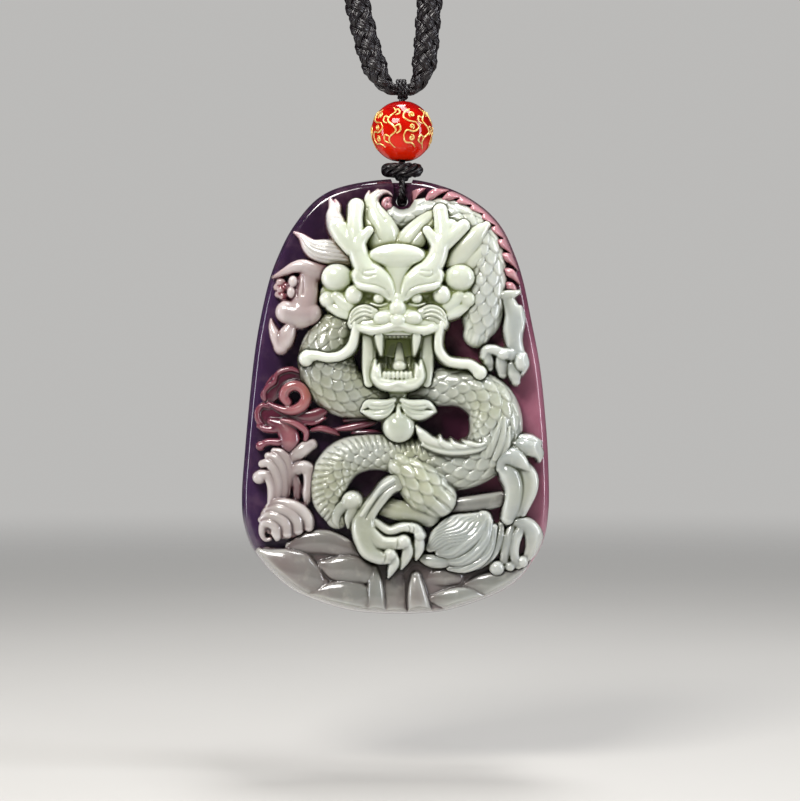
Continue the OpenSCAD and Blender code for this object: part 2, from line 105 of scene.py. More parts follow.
# ---------------------------------------------------------------- camera

def look_from_the_front():
    """The photograph's view: square on to the face, framed on bead and plaque."""
    lens, sensor = 100.0, 36.0
    # The frame is 800 steps wide just in front of the face, round this place on the grid
    frame_w, middle, in_front = 800, (5, 216.5), 2.0
    away = frame_w * STEP_X * lens / sensor
    data = bpy.data.cameras.new("front_camera")
    data.lens, data.sensor_width = lens, sensor
    data.clip_start, data.clip_end = 0.01, 20
    camera = bpy.data.objects.new("front_camera", data)
    camera.location = Vector((AXIS_X + middle[0] * STEP_X, FACE_Y - in_front - away,
                              FOOT_Z + middle[1] * STEP_Z)) * MM
    camera.rotation_euler = (math.radians(90), 0, 0)
    bpy.context.scene.collection.objects.link(camera)
    bpy.context.scene.camera = camera


look_from_the_front()


# ---------------------------------------------------------------- finishes

class Value:
    """A socket of a finish, with the shader's maths as operators."""

    def __init__(self, finish, socket):
        self.finish, self.socket = finish, socket

    def maths(self, operation, *others):
        sockets = dict(enumerate([self, *others]))
        return self.finish.node("Math", {"operation": operation}, sockets)

    def __add__(self, other):
        return self.maths("ADD", other)

    def __sub__(self, other):
        return self.maths("SUBTRACT", other)

    def __neg__(self):
        return self * -1.0

    def __rsub__(self, other):
        return -self + other

    def __mul__(self, other):
        return self.maths("MULTIPLY", other)

    __radd__, __rmul__ = __add__, __mul__

    def between(self, low, high):
        """0 below low, 1 above high, eased in between."""
        sockets = {"Value": self, "From Min": low, "From Max": high}
        return self.finish.node("MapRange", {"interpolation_type": "SMOOTHSTEP"}, sockets)


class Finish:
    """A procedural material, or the room's light, built up node by node."""

    def __init__(self, name, store="materials"):
        self.made = getattr(bpy.data, store).new(name)
        self.made.use_nodes = True
        self.made.node_tree.nodes.clear()
        self.place = self.node("TexCoord", {}, {}, "Object")

    def node(self, kind, settings, sockets, out=0):
        """A new node's output out: settings are set first, then values or links of sockets."""
        tree = self.made.node_tree
        node = tree.nodes.new("ShaderNode" + kind)
        for name, value in settings.items():
            if name == "stops":
                self.set_stops(node.color_ramp, value)
            else:
                setattr(node, name, value)
        for name, value in sockets.items():
            if isinstance(value, Value):
                tree.links.new(value.socket, node.inputs[name])
            else:
                node.inputs[name].default_value = value
        return Value(self, node.outputs[out]) if node.outputs else None

    @staticmethod
    def set_stops(ramp, stops):
        while len(ramp.elements) < len(stops):
            ramp.elements.new(0.5)
        for element, (position, tint) in zip(ramp.elements, stops):
            element.position, element.color = position, colour(tint)

    def mix(self, share, a, b):
        """Colour a with share of colour b over it."""
        return self.node("Mix", {"data_type": "RGBA"}, {0: share, 6: a, 7: b}, 2)

    def noise(self, scale, detail=2.0, **more):
        sockets = {"Vector": self.place, "Scale": scale, "Detail": detail, **more}
        return self.node("TexNoise", {}, sockets, "Fac")

    def painted(self, name):
        """A value stored on the mesh's points."""
        return self.node("Attribute", {"attribute_name": name}, {}, "Fac")

    def axis(self, name):
        return self.node("SeparateXYZ", {}, {"Vector": self.place}, name)

    def bumps(self, height, distance, strength=1.0):
        sockets = {"Height": height, "Distance": distance, "Strength": strength}
        return self.node("Bump", {}, sockets)

    def surface(self, **looks):
        """The shader itself; Base_Color stands for the socket Base Color, and so on."""
        sockets = {name.replace("_", " "): value for name, value in looks.items()}
        shader = self.node("BsdfPrincipled", {}, sockets)
        self.node("OutputMaterial", {}, {"Surface": shader})
        return self.made


def colour(code):
    """A colour's red, green and blue in linear light, from its code, and a full alpha."""
    parts = [int(code[i:i + 2], 16) / 255 for i in (0, 2, 4)]
    return (*[c / 12.92 if c <= 0.04045 else ((c + 0.055) / 1.055) ** 2.4 for c in parts], 1.0)


# The stone's coloured skin, from the plaque's left edge to its right: its own purple and rose, with
# painted shade, dark wine, in the middle behind the dragon, and a painted glow, paler rose, at the
# right edge where light comes through the thin stone
SKIN_GLOW_AND_SHADE = [(0.0, "3e2749"), (0.22, "2b1a2f"), (0.7, "3b1829"), (0.88, "7e465a"), (1.0, "a06678")]

# A tint of the stone: its colour, a second one in its veils, the painted highlight on its edges,
# the painted shade in its hollows, and the colour of its skin. From low to high over the face, as
# shares of the relief's depth, the skin gives way to clear stone. The skin is the stone's own
# colour; the dark olive and brown skins of body, limbs, head and jaws also stand for painted shade
# on the low sides. The last column is how much the skin tints it towards the plaque's left side.
Jade = namedtuple("Jade", "stone veil edge hollow skin low high stain")
JADES = {
    "jade_body": Jade("a9aea4", "b0b498", "f6f9f0", "40442c", "453a32", 0.04, 0.54, 0.3),
    "jade_neck": Jade("bcc1ba", "c2c6b4", "fafcf6", "565a42", "54463c", -0.3, -0.05, 0.0),
    "jade_head": Jade("cad1be", "d3d9c8", "fdfff9", "7c8844", "565a38", 0.10, 0.66, 0.0),
    "jade_jaws": Jade("b6bdad", "bdc2ae", "f6faf0", "5c6638", "565a38", 0.10, 0.56, 0.0),
    "jade_mane": Jade("c6ccba", "ced2c2", "fafcf4", "7c8054", "a06a76", 0.08, 0.34, 0.0),
    "jade_limbs": Jade("a2a8a4", "a8ac9a", "f4f7f0", "4a5034", "504438", 0.04, 0.52, 0.1),
    "jade_flames": Jade("c0c2bc", "c8c2c0", "f8f8f2", "70604a", "a04c68", 0.18, 0.42, 0.1),
    "jade_paw": Jade("aea6a4", "b2a09e", "f8eeec", "56303a", "7a3640", 0.27, 0.52, 0.12),
    "jade_foam": Jade("b4b2ac", "b2a6a4", "f8f4f2", "3c2a30", "70444c", 0.10, 0.50, 0.1),
    "jade_foot": Jade("868882", "827a76", "d6d8d2", "38332f", "60424c", 0.04, 0.38, 0.16),
    "jade_scrolls": Jade("ba7e82", "a86a58", "a25c6a", "2c0c18", "5a2436", 0.22, 0.48, 0.0),
    "jade_spines": Jade("a8626f", "b47c84", "dcaab0", "2c0a16", "541e30", 0.06, 0.36, 0.0),
}


def jade(name):
    """Polished jade, clear high on the carving, with painted shade in its hollows and painted
    highlights on its edges, over a coloured skin.
    """
    tint, pale = JADES[name], colour("e3e2d2")
    skin, hollow = colour(tint.skin), colour(tint.hollow)
    f = Finish(name)
    veils = f.noise(95.0, 3.0)
    mottle = f.noise(620.0, 3.0)
    lift = (FACE_Y * MM - f.axis("Y")) * (1 / (RELIEF_D * MM))
    clear = f.mix(veils.between(0.35, 0.7), colour(tint.stone), colour(tint.veil))
    clear = f.mix(mottle.between(0.5, 0.8) * 0.14, clear, pale)
    # The stone's own skin low on the carving; the dark skins also stand for painted shade on low
    # sides
    base = f.mix((lift + (veils - 0.5) * 0.12).between(tint.low, tint.high), skin, clear)
    # Tinted towards the skin, and so darker, on the plaque's left side
    leftward = (-f.axis("X") + (veils - 0.5) * 0.02).between(-0.006, 0.02)
    base = f.mix(leftward * tint.stain, base, skin)
    # Painted shade where the carving shelters it and in its lines, painted highlights on its edges
    stands_out = f.painted("relief")
    base = f.mix(f.painted("shelter") * 0.6, base, hollow)
    base = f.mix((-stands_out).between(0.05, 0.9) * 0.85, base, hollow)
    base = f.mix(stands_out.between(0.1, 0.9) * 0.4, base, colour(tint.edge))
    waver = f.noise(1100.0, 3.0)
    return f.surface(
        Base_Color=base,
        Roughness=mottle * 0.12 + (-stands_out).between(0.1, 0.9) * 0.2 + 0.12,
        IOR=1.6, Subsurface_Weight=0.2, Subsurface_Radius=(1.0, 0.9, 0.6), Subsurface_Scale=0.0005,
        Coat_Weight=0.6, Coat_Roughness=0.04,
        Normal=f.bumps(waver, 0.00008, 0.5))


def jade_slab_finish():
    """The slab's polished skin: dark purple on the left, rose on the right, with pale clouds. Its
    dark wine middle is partly painted shade, and its pale rose right edge partly a painted glow.
    """
    f = Finish("jade_slab")
    veils = f.noise(70.0, 4.0, Distortion=0.6)
    mottle = f.noise(420.0, 4.0)
    across = f.axis("X") * (1 / (PLAQUE_W * MM)) + 0.5 + (veils - 0.5) * 0.5
    skin = f.node("ValToRGB", {"stops": SKIN_GLOW_AND_SHADE}, {"Fac": across})
    deep = (f.axis("Y") - FACE_Y * MM) * (1 / (SLAB_T * MM))
    pale, behind = colour("b08a96"), colour("7c5a70")
    skin = f.mix(mottle.between(0.45, 0.75) * 0.08, skin, pale)
    skin = f.mix(deep.between(0.1, 1.0) * 0.3, skin, behind)
    waver = f.noise(240.0, 2.0)
    return f.surface(
        Base_Color=skin, Roughness=mottle * 0.1 + 0.08,
        IOR=1.6, Subsurface_Weight=0.2, Subsurface_Radius=(1.0, 0.6, 0.6), Subsurface_Scale=0.0008,
        Coat_Weight=0.5, Coat_Roughness=0.03,
        Normal=f.bumps(waver, 0.00025, 0.4))


def agate_finish():
    """Clear red agate, with a painted orange glow at its foot and painted shade, dark red, above.
    """
    f = Finish("red_agate")
    clouds = f.noise(260.0, 3.0, Distortion=0.8)
    rise = (f.axis("Z") - (BEAD_Z - BEAD_D / 2) * MM) * (1 / (BEAD_D * MM))
    deep, clear, painted_glow, dark, speck = map(colour, ("a00504", "c81206", "ff2e08", "6c0408", "ff8a5a"))
    red = f.mix(clouds.between(0.35, 0.75), deep, clear)
    # Painted light: an orange glow at the foot for light through the clear stone, and painted
    # shade, dark red, at the top
    red = f.mix((1 - rise).between(0.3, 1.0) * 0.7, red, painted_glow)
    red = f.mix(rise.between(0.6, 1.1) * 0.6, red, dark)
    red = f.mix(f.noise(1500.0, 2.0).between(0.68, 0.8) * 0.3, red, speck)
    return f.surface(
        Base_Color=red, Roughness=clouds * 0.08 + 0.05, IOR=1.4, Specular_IOR_Level=0.35,
        Subsurface_Weight=0.35, Subsurface_Radius=(1.0, 0.12, 0.05), Subsurface_Scale=0.0015,
        Coat_Weight=0.15, Coat_Roughness=0.02,
        Normal=f.bumps(f.noise(900.0), 0.00004, 0.3))


def gold_finish():
    """Thin gilt, patchy and a little rough."""
    f = Finish("gilding")
    patches = f.noise(2200.0, 3.0)
    gilt = f.mix(patches.between(0.35, 0.7), colour("ffe39a"), colour("e8b654"))
    return f.surface(Base_Color=gilt, Metallic=patches * 0.2 + 0.5, Roughness=patches * 0.3 + 0.25,
                     Normal=f.bumps(patches, 0.00003, 0.6))


def cord_finish(name, dark, light, filaments, roughness):
    """Nylon yarn, shiny, with fine filaments along each strand that slant round it."""
    f = Finish(name)
    around, along = f.painted("around"), f.painted("along")
    wobble = f.noise(900.0, 2.0)
    lines = (around * (2 * math.pi * filaments) + along * 2.2 + wobble * 5.0).maths("SINE")
    fleck = f.noise(2400.0, 3.0)
    base = f.mix(lines.between(-0.6, 1.0) * 0.6 + fleck * 0.3, colour(dark), colour(light))
    return f.surface(
        Base_Color=base, Roughness=fleck * 0.25 + roughness, IOR=1.5, Specular_IOR_Level=0.6,
        Normal=f.bumps(lines + fleck * 0.6, 0.00006, 0.8))


def floor_finish():
    """A pale floor that fades into the room."""
    f = Finish("pale_floor")
    away = f.node("VectorMath", {"operation": "LENGTH"}, {0: f.place}, "Value")
    mottle = f.noise(6.0, 3.0)
    tint = f.mix(mottle, colour("bcbab6"), colour("c4c2be"))
    surface = f.node("BsdfPrincipled", {}, {"Base Color": tint, "Roughness": 0.75})
    clear = f.node("BsdfTransparent", {}, {})
    mixed = f.node("MixShader", {}, {0: away.between(0.12, 0.9), 1: surface, 2: clear})
    f.node("OutputMaterial", {}, {"Surface": mixed})
    return f.made


# ---------------------------------------------------------------- carving: the tools

# The relief is carved as heights over the face, on a fine grid of cells. A stroke is a path of
# rows [x, z, height, half width]: places and widths in grid steps, heights in hundredths of the
# relief's depth.
CELL = 0.75
XS = np.arange(-158.0, 160.0, CELL)
ZS = np.arange(-1.0, 442.0, CELL)
# Height of uncarved cells, below the face, and how steeply a stroke's sides fall beyond its width
BARE, WALL = -14.0, 10.0
# A hundredth of the relief's depth, in steps
HUNDREDTH = RELIEF_D / STEP_X / 100
# How much of its half width a round stroke falls, and how far beyond it stroke and knob reach
ROUND, STROKE_MARGIN, KNOB_MARGIN = 0.9, 7, 8
FINEST, FAR = 0.4, 1e9
# The middle of the dragon's face
FACE_MIDDLE = 2.8


def smooth_line(points, steps, closed=False):
    """A smooth line through points, with so many steps for each span."""
    p = np.array(points, float)
    p = np.vstack([p[-1], p, p[0], p[1]]) if closed else np.vstack([p[0], p, p[-1]])
    t = np.linspace(0, 1, steps, endpoint=False)[:, None]
    spans = [
        (2 * b + t * (c - a) + t * t * (2 * a - 5 * b + 4 * c - d)
         + t ** 3 * (3 * b - a - 3 * c + d)) / 2
        for a, b, c, d in zip(p, p[1:], p[2:], p[3:])
    ]
    return np.vstack(spans if closed else [*spans, p[-2:-1]])


def window(x0, x1, z0, z1):
    """The part of the grid between these places, as slices of rows and columns."""
    i0, i1 = np.searchsorted(XS, (x0, x1))
    j0, j1 = np.searchsorted(ZS, (z0, z1))
    return slice(j0, max(j1, j0 + 1)), slice(i0, max(i1, i0 + 1))


def near(path):
    """For the cells round a path: how far from it, along it and across it they lie, and its
    height and half width there."""
    p = smooth_line(path, 8)
    p[:, 3] = np.maximum(p[:, 3], FINEST)
    pad = p[:, 3].max() + STROKE_MARGIN
    (x0, z0), (x1, z1) = p[:, :2].min(axis=0) - pad, p[:, :2].max(axis=0) + pad
    part = window(x0, x1, z0, z1)
    gx, gz = np.meshgrid(XS[part[1]], ZS[part[0]])
    span = p[1:, :2] - p[:-1, :2]
    length = np.maximum(np.hypot(span[:, 0], span[:, 1]), 1e-6)
    run = np.concatenate([[0], np.cumsum(length)])
    reach = np.full(gx.shape, FAR)
    along, across, height, width = (np.ones(gx.shape) for _ in range(4))
    for i, (way, size) in enumerate(zip(span, length)):
        dx, dz = gx - p[i, 0], gz - p[i, 1]
        ux, uz = way / size
        t = np.clip((dx * ux + dz * uz) / size, 0, 1)
        d = np.hypot(dx - t * way[0], dz - t * way[1])
        k = d < reach
        reach[k] = d[k]
        along[k] = (run[i] + t * size)[k]
        across[k] = (ux * dz - uz * dx)[k]
        height[k] = (p[i, 2] + t * (p[i + 1, 2] - p[i, 2]))[k]
        width[k] = (p[i, 3] + t * (p[i + 1, 3] - p[i, 3]))[k]
    return {"part": part, "reach": reach, "along": along, "across": across,
            "height": height * HUNDREDTH, "width": width}


def back(share, width, drop, wall):
    """How far a rounded back falls at a share of its half width, and beyond it the wall."""
    s = np.clip(share, 0, 1)
    return np.where(share < 1, drop * (1 - np.sqrt(1 - s * s)), drop + (share - 1) * width * wall)


def shingles(f, pitch, breadth, lift, ribs_on=0, rib=8.0, rib_edge=0.45):
    """Overlapping rounded scales, free edges towards the path's end, each with a line round it.
    ribs_on says on which side there are ribs instead, from rib_edge of the half width outwards."""
    across = f["width"] * np.arcsin(np.clip(f["across"] / f["width"], -1, 1))
    long, wide = 1.42 * pitch, 0.6 * breadth
    out, done = np.zeros(across.shape), np.zeros(across.shape, bool)
    first = np.floor(f["along"] / pitch)
    for row in (first - 1, first, first + 1, first + 2):
        du = across - np.mod(row, 2) * breadth / 2
        du = du - np.round(du / breadth) * breadth
        ds = f["along"] - row * pitch
        e = np.hypot(ds / long, du / wide)
        k = (e < 1) & ~done
        scale = lift * (0.1 + 0.9 * ds / long) - 0.9 * (du / wide) ** 2
        out[k] = (scale - 2.2 * np.exp(-((1 - e) / 0.13) ** 2))[k]
        done |= k
    if ribs_on:
        share = np.clip((ribs_on * f["across"] / f["width"] - rib_edge) / 0.15, 0, 1)
        lean = f["along"] + 0.35 * f["across"]
        ribs = 2.6 * np.sqrt(np.abs(np.sin(np.pi * lean / rib))) - 1.2
        out = out * (1 - share) + ribs * share
    return out


def flutes(f, count, depth, sway=0.0):
    """Rounded strands side by side along the path, swaying by a share of a strand."""
    t = (np.clip(f["across"] / f["width"], -1, 1) * 0.5 + 0.5) * count
    t = t + sway * np.sin(f["along"] / 7 + 0.5 * t)
    return depth * (np.sqrt(np.clip(1 - (np.mod(t, 1) * 2 - 1) ** 2, 0, 1)) - 0.75)


class Relief:
    """One part of the carving, as heights over the face."""

    def __init__(self):
        self.heights = np.full((len(ZS), len(XS)), BARE)

    def raise_to(self, part, new, blend):
        old = self.heights[part]
        both = 0.5 * (old + new + np.hypot(old - new, blend))
        self.heights[part] = np.where(new > old - 3 * blend, both, old)

    def lay(self, *paths, round_up=1.0, blend=0.7, wall=WALL, detail=None, **look):
        """Strokes with rounded backs. detail is what is cut into them, as look says, and fades
        out at their sides."""
        for path in paths:
            f = near(path)
            share = f["reach"] / f["width"]
            new = f["height"] - back(share, f["width"], round_up * ROUND * f["width"], wall)
            if detail:
                new = new + detail(f, **look) * np.clip((1.05 - share) / 0.2, 0, 1)
            self.raise_to(f["part"], new, blend)

    def knob(self, *rows, round_up=1.0, blend=0.6, wall=WALL):
        """Round knobs: rows of [x, z, height, half width, half height]."""
        for x, z, height, rx, rz in rows:
            wide, high = rx + KNOB_MARGIN, rz + KNOB_MARGIN
            part = window(x - wide, x + wide, z - high, z + high)
            gx, gz = np.meshgrid(XS[part[1]], ZS[part[0]])
            share, size = np.hypot((gx - x) / rx, (gz - z) / rz), min(rx, rz)
            drop = back(share, size, round_up * ROUND * size, wall)
            self.raise_to(part, height * HUNDREDTH - drop, blend)

    def cut(self, *paths, depth=1.2):
        """Incised lines: rows of [x, z, 0, half width]."""
        for path in paths:
            f = near(path)
            self.heights[f["part"]] -= depth * np.exp(-(f["reach"] / f["width"]) ** 2)


def mirrored(*paths):
    """The paths on the face's left, and again on its right."""
    return [*paths, *[[[2 * FACE_MIDDLE - p[0], *p[1:]] for p in path] for path in paths]]


# ---------------------------------------------------------------- carving: the dragon

def carve_neck():
    neck = Relief()
    neck.lay([[-2, 398, 38, 12], [20, 404, 42, 14], [44, 403, 47, 17], [68, 393, 52, 20],
              [85, 372, 55, 21], [91, 345, 57, 21], [90, 318, 56, 21.4], [86, 296, 50, 20],
              [82, 283, 40, 14]], detail=shingles, pitch=10, breadth=14, lift=2.8)
    return neck


def carve_body():
    body = Relief()
    body.lay([[-40, 296, 46, 16], [-60, 284, 54, 22], [-68, 266, 58, 28], [-66, 244, 60, 30],
              [-50, 226, 58, 27], [-24, 218, 50, 20], [0, 214, 40, 14]],
             detail=shingles, pitch=9.5, breadth=13, lift=2.6)
    body.lay([[20, 224, 44, 16], [45, 230, 54, 19], [70, 229, 60, 20], [92, 217, 64, 25],
              [101, 196, 66, 27], [97, 173, 64, 26], [80, 156, 60, 24], [58, 150, 56, 24],
              [36, 152, 50, 20]],
             detail=shingles, pitch=10.5, breadth=13.5, lift=3)
    body.lay([[34, 160, 50, 18], [5, 163, 53, 19], [-25, 165, 56, 18], [-50, 158, 58, 20],
              [-64, 140, 60, 20], [-66, 118, 56, 17], [-58, 100, 44, 12]],
             detail=shingles, pitch=7.5, breadth=12, lift=2.6, ribs_on=-1, rib=5.4, rib_edge=0.1)
    body.lay([[6, 152, 62, 14], [20, 140, 70, 22], [34, 126, 72, 25], [42, 119, 66, 20]],
             detail=shingles, pitch=12.5, breadth=13.5, lift=3.6)
    body.lay([[-16, 112, 40, 10], [8, 106, 48, 11], [34, 102, 46, 12]], blend=2)
    return body


def carve_fins():
    fins = Relief()
    # The ragged crest along the lower bend, and the tuft that rises from its end
    fins.lay([[24, 185, 62, 2], [30, 178, 66, 5], [44, 171, 68, 6.5], [60, 168, 69, 6],
              [76, 168.5, 69, 4.6], [90, 172.6, 66, 1.5]], round_up=0.6, blend=0.4)
    fins.lay([[21, 191, 60, 0.9], [26, 184, 68, 4], [34, 177, 71, 4.4], [45, 171, 70, 2.6]],
             [[44.8, 180.6, 66, 0.8], [46, 175.6, 72, 2.8], [52, 171, 73, 3.2], [62, 168.6, 70, 2]],
             [[56, 177, 66, 0.8], [59, 173, 72, 2.4], [66, 170.4, 73, 2.6], [76, 170.4, 70, 1.4]],
             [[68, 176, 67, 0.8], [73, 174, 73, 2.2], [82, 172, 73, 2], [91, 174.6, 68, 0.8]],
             [[28, 173, 66, 2], [44, 166.6, 71, 2.4], [63, 164.8, 72, 2.4], [82, 167.4, 71, 2],
              [92, 171.6, 66, 0.8]], round_up=0.9, blend=0.3)
    fins.lay([[94, 162, 66, 2], [97, 172, 72, 3], [101, 184, 73, 3], [106, 200, 68, 0.8]],
             [[99, 159, 66, 3], [104, 171, 73, 3.6], [107.6, 185, 73, 3.2], [109, 200, 67, 0.8]],
             [[105, 160, 64, 3], [111, 173, 70, 3.4], [113.6, 190, 66, 1]],
             [[90, 160, 66, 1.6], [93, 168, 70, 2.4], [97, 177, 68, 0.8]], round_up=0.9, blend=0.3)
    return fins


def carve_skull(head):
    head.lay([[3, 352, 62, 26], [3, 340, 72, 31], [3, 322, 75, 34], [3, 302, 77, 34],
              [3, 290, 76, 31]], round_up=0.5, blend=3)
    head.lay(*mirrored([[-62, 322, 50, 13], [-42, 312, 64, 16]]), round_up=0.8, blend=3)
    # Lobes of the cheeks, under the ears
    head.lay(*mirrored([[-64, 310, 56, 5], [-55, 306, 62, 7], [-46, 302, 66, 6]],
                       [[-58, 320, 62, 6], [-52, 315, 66, 7], [-45, 310, 70, 6]]), blend=1.4)
    head.knob([-66.5, 317, 62, 8.8, 8.4], [72.1, 317, 62, 8.8, 8.4], blend=1)


def carve_ears(head):
    head.knob([-58, 338.6, 76, 15.4, 14], [64.2, 338.6, 76, 15.6, 14], round_up=0.95)
    head.cut(*mirrored([[-72, 332, 0, 1], [-65, 327.6, 0, 1.1], [-56, 326.6, 0, 1.1],
                        [-47, 329.4, 0, 1]]), depth=1.3)
    head.knob([-40.6, 321.4, 82, 8.8, 9.4], [46.2, 321.4, 82, 8.8, 9.4])


def carve_forehead(head):
    head.lay([[2.8, 352, 86, 17], [2.8, 344, 88, 10], [2.8, 334, 88, 6.4], [2.8, 324, 88, 5],
              [2.8, 314, 90, 4]], round_up=0.5, blend=2.5)
    head.knob([2.2, 360, 95, 27.4, 11.5], round_up=0.9, blend=3.5)


def carve_brows_and_horns(head):
    head.lay([[-2.6, 316, 92, 2.2], [-5, 326, 95, 4.8], [-10.4, 334, 97, 8], [-18.4, 340, 97, 10.2],
              [-27, 346, 93, 10.4], [-34, 356, 88, 9.6], [-37.4, 368, 85, 9.2],
              [-39.4, 382, 80, 8.4], [-39.6, 398, 74, 7.4], [-38.6, 409.6, 68, 8]],
             [[8.2, 316, 92, 2.2], [10.6, 326, 95, 4.8], [16, 334, 97, 8], [24, 340, 97, 10.2],
              [33, 346, 93, 10.4], [40.6, 356, 88, 9.6], [44.4, 368, 85, 9],
              [46.6, 382, 80, 8.4], [46, 396, 74, 7.6], [45, 404.6, 68, 7.8]], blend=0.6)
    head.lay(*mirrored([[-36, 341, 86, 7], [-28, 336, 92, 7.6], [-18, 332, 95, 6.6],
                        [-9, 326, 94, 4]]), blend=1.4)
    head.lay([[-36, 370, 80, 6.4], [-31.4, 378, 80, 5], [-25.6, 385, 79, 4.4]],
             [[43, 368, 80, 6.4], [37.6, 377, 80, 5.2], [31.8, 385, 79, 4.6]],
             [[49, 372, 80, 7.6], [59, 381, 78, 7.4], [68, 389.6, 74, 6.8]],
             [[49, 380, 78, 9], [55, 388, 72, 9]],
             [[-43, 368, 80, 8.4], [-51, 378, 76, 8.8], [-58, 390, 70, 8.6]],
             [[-45, 380, 74, 6], [-52, 388, 68, 6]], blend=2)
    # The heavy edge of each brow, and the folds on it
    head.lay(*mirrored([[-39, 336, 84, 2.6], [-34, 330, 91, 3.4], [-23, 327.4, 96, 3.6],
                        [-13, 324, 97, 3.2], [-5.4, 317, 94, 2.2]]), blend=1)
    head.cut(*mirrored([[-31, 344.6, 0, 1], [-31, 340, 0, 1], [-26, 338.5, 0, 1], [-20, 340, 0, 1]],
                       [[-28, 344, 0, 0.9], [-20, 344.6, 0, 0.9]],
                       [[-38, 333.6, 0, 0.8], [-28, 331.6, 0, 0.8], [-18, 330, 0, 0.8],
                        [-9, 326, 0, 0.8]]), depth=1.2)


def carve_eyes(head):
    for x in (-15.8, 21.2):
        head.cut([[x - 9, 318, 0, 4.5], [x, 319, 0, 6], [x + 9, 318, 0, 4.5]], depth=3.4)
        head.knob([x, 317.8, 85, 5.6, 5], blend=0.4)
        head.lay([[x - 8, 312.4, 74, 0.9], [x, 310.2, 77, 1.2], [x + 8, 312.2, 76, 0.9]], blend=1.2)


def carve_cheeks():
    """Full cheeks beside the nose, with three folds in each."""
    cheeks = Relief()
    cheeks.lay(*mirrored([[-40, 293, 79, 7], [-36, 300, 85, 9], [-29, 303, 88, 8.6],
                          [-21, 302, 87, 6]]), blend=1.6, round_up=0.7)
    cheeks.cut(*mirrored([[-43, 300, 0, 0.9], [-38, 306, 0, 1.1], [-30, 308, 0, 1],
                          [-24, 306, 0, 0.8]],
                         [[-44, 296, 0, 0.9], [-38, 301.6, 0, 1.1], [-30, 303.8, 0, 1],
                          [-23.6, 302, 0, 0.8]],
                         [[-43, 292, 0, 0.9], [-37, 297, 0, 1.1], [-30, 299.4, 0, 1],
                          [-24, 298, 0, 0.8]]), depth=2.4)
    return cheeks


def carve_muzzle(head):
    head.lay([[-30, 291, 82, 6], [-10, 292, 88, 7], [3, 293, 92, 8], [16, 292, 88, 7],
              [36, 291, 82, 6]], blend=1.6, round_up=0.7)
    head.lay([[2.8, 318, 92, 4], [2.8, 310, 94, 7]],
             [[-14, 298, 89, 8], [2.8, 299, 92, 9], [20, 298, 89, 8]], blend=1.5)
    head.knob([2.6, 307.5, 99, 8.2, 8.6], [-12, 298, 97, 9.4, 6.8], [17.6, 298, 97, 9.4, 6.8],
              [2.8, 295.8, 100, 7.4, 6], blend=1.2)
    head.lay([[-41, 296, 72, 2.4], [-38, 290, 80, 3.6], [-30, 287.4, 88, 4.4],
              [-21, 285.4, 92, 4.4], [-10, 287.4, 94, 4.2], [3, 290.6, 96, 4], [16, 287.4, 94, 4.2],
              [27, 285.4, 92, 4.4], [36, 287.4, 88, 4.4], [43, 290, 80, 3.6],
              [46.6, 296, 72, 2.4]], blend=0.6)
    head.cut([[-34, 284, 0, 1], [-21, 282, 0, 1.2], [-8, 284.5, 0, 1], [3, 288, 0, 1],
              [14, 284.5, 0, 1], [27, 282, 0, 1.2], [40, 284, 0, 1]], depth=1.5)
    # The open mouth, where the head is low, with room for the jaws
    mouth, floor = window(-20, 27, 238, 281), 30
    head.heights[mouth] = np.minimum(head.heights[mouth], floor * HUNDREDTH)


def carve_head():
    head = Relief()
    carve_skull(head)
    carve_ears(head)
    carve_forehead(head)
    carve_brows_and_horns(head)
    carve_eyes(head)
    carve_muzzle(head)
    return head


def carve_jaws():
    jaws = Relief()
    jaws.lay([[3, 282, 26, 22], [3, 262, 22, 23], [3, 240, 30, 22]], round_up=0.1, blend=1)
    jaws.lay(*mirrored([[-27, 288, 70, 5.6], [-27, 268, 62, 5.6], [-27, 248, 62, 5.4],
                        [-26, 234, 66, 4.6]]), round_up=0.8, blend=0.6)
    jaws.lay(*mirrored([[-20.6, 284, 56, 1.8], [-21, 262, 50, 1.8], [-21, 248, 52, 1.8]]),
             blend=0.4)
    upper_teeth = [[[x, 286, 66, 2.2], [x, 281, 62, 2.0]] for x in np.arange(-9.4, 16, 4.2)]
    lower_teeth = [[[x, 239, 82, 2.1], [x, 243.4, 80, 1.9]] for x in np.arange(-10.4, 17.4, 4.3)]
    palate = [[[x, 276, 30, 1.6], [x, 260, 28, 1.8], [x, 247, 34, 1.8]]
              for x in (-9, -4.5, 10, 14.5)]
    jaws.lay(*upper_teeth, *palate, blend=0.3)
    jaws.lay(*mirrored(
        [[-16.4, 286, 86, 4.6], [-15.8, 277, 84, 4], [-14.8, 269, 80, 2.7], [-13.8, 262, 75, 0.9]]),
        blend=0.4)
    jaws.lay([[-19.6, 256, 76, 0.8], [-19.8, 247, 82, 3], [-18.6, 239, 86, 4.6],
              [-12, 233, 90, 5.6], [3, 231, 92, 5.8], [18, 233, 90, 5.6], [24.6, 239, 86, 4.6],
              [25.8, 247, 82, 3], [25.6, 256, 76, 0.8]], round_up=0.9, blend=0.6)
    # The bright edge of the lower lip, dipping beside its middle
    jaws.lay([[-20.6, 238, 86, 1.6], [-14, 231.5, 91, 2.6], [-6, 230.6, 93, 3], [3, 233.4, 94, 2.6],
              [12, 230.6, 93, 3], [20, 231.5, 91, 2.6], [26.6, 238, 86, 1.6]], blend=0.6)
    jaws.lay(*lower_teeth, blend=0.3)
    jaws.lay(*mirrored([[-16.4, 241, 86, 3.2], [-16.4, 247, 83, 2.4], [-15.6, 252, 78, 0.8]]),
             blend=0.4)
    jaws.lay([[4.4, 272, 34, 3.6], [4.4, 262, 44, 4.6], [4.4, 252, 58, 5.4]], blend=0.4)
    jaws.knob([4.4, 250.4, 72, 6.4, 5.4])
    jaws.lay([[3, 224, 60, 9], [3, 213, 56, 7]], round_up=0.6, blend=2)
    return jaws


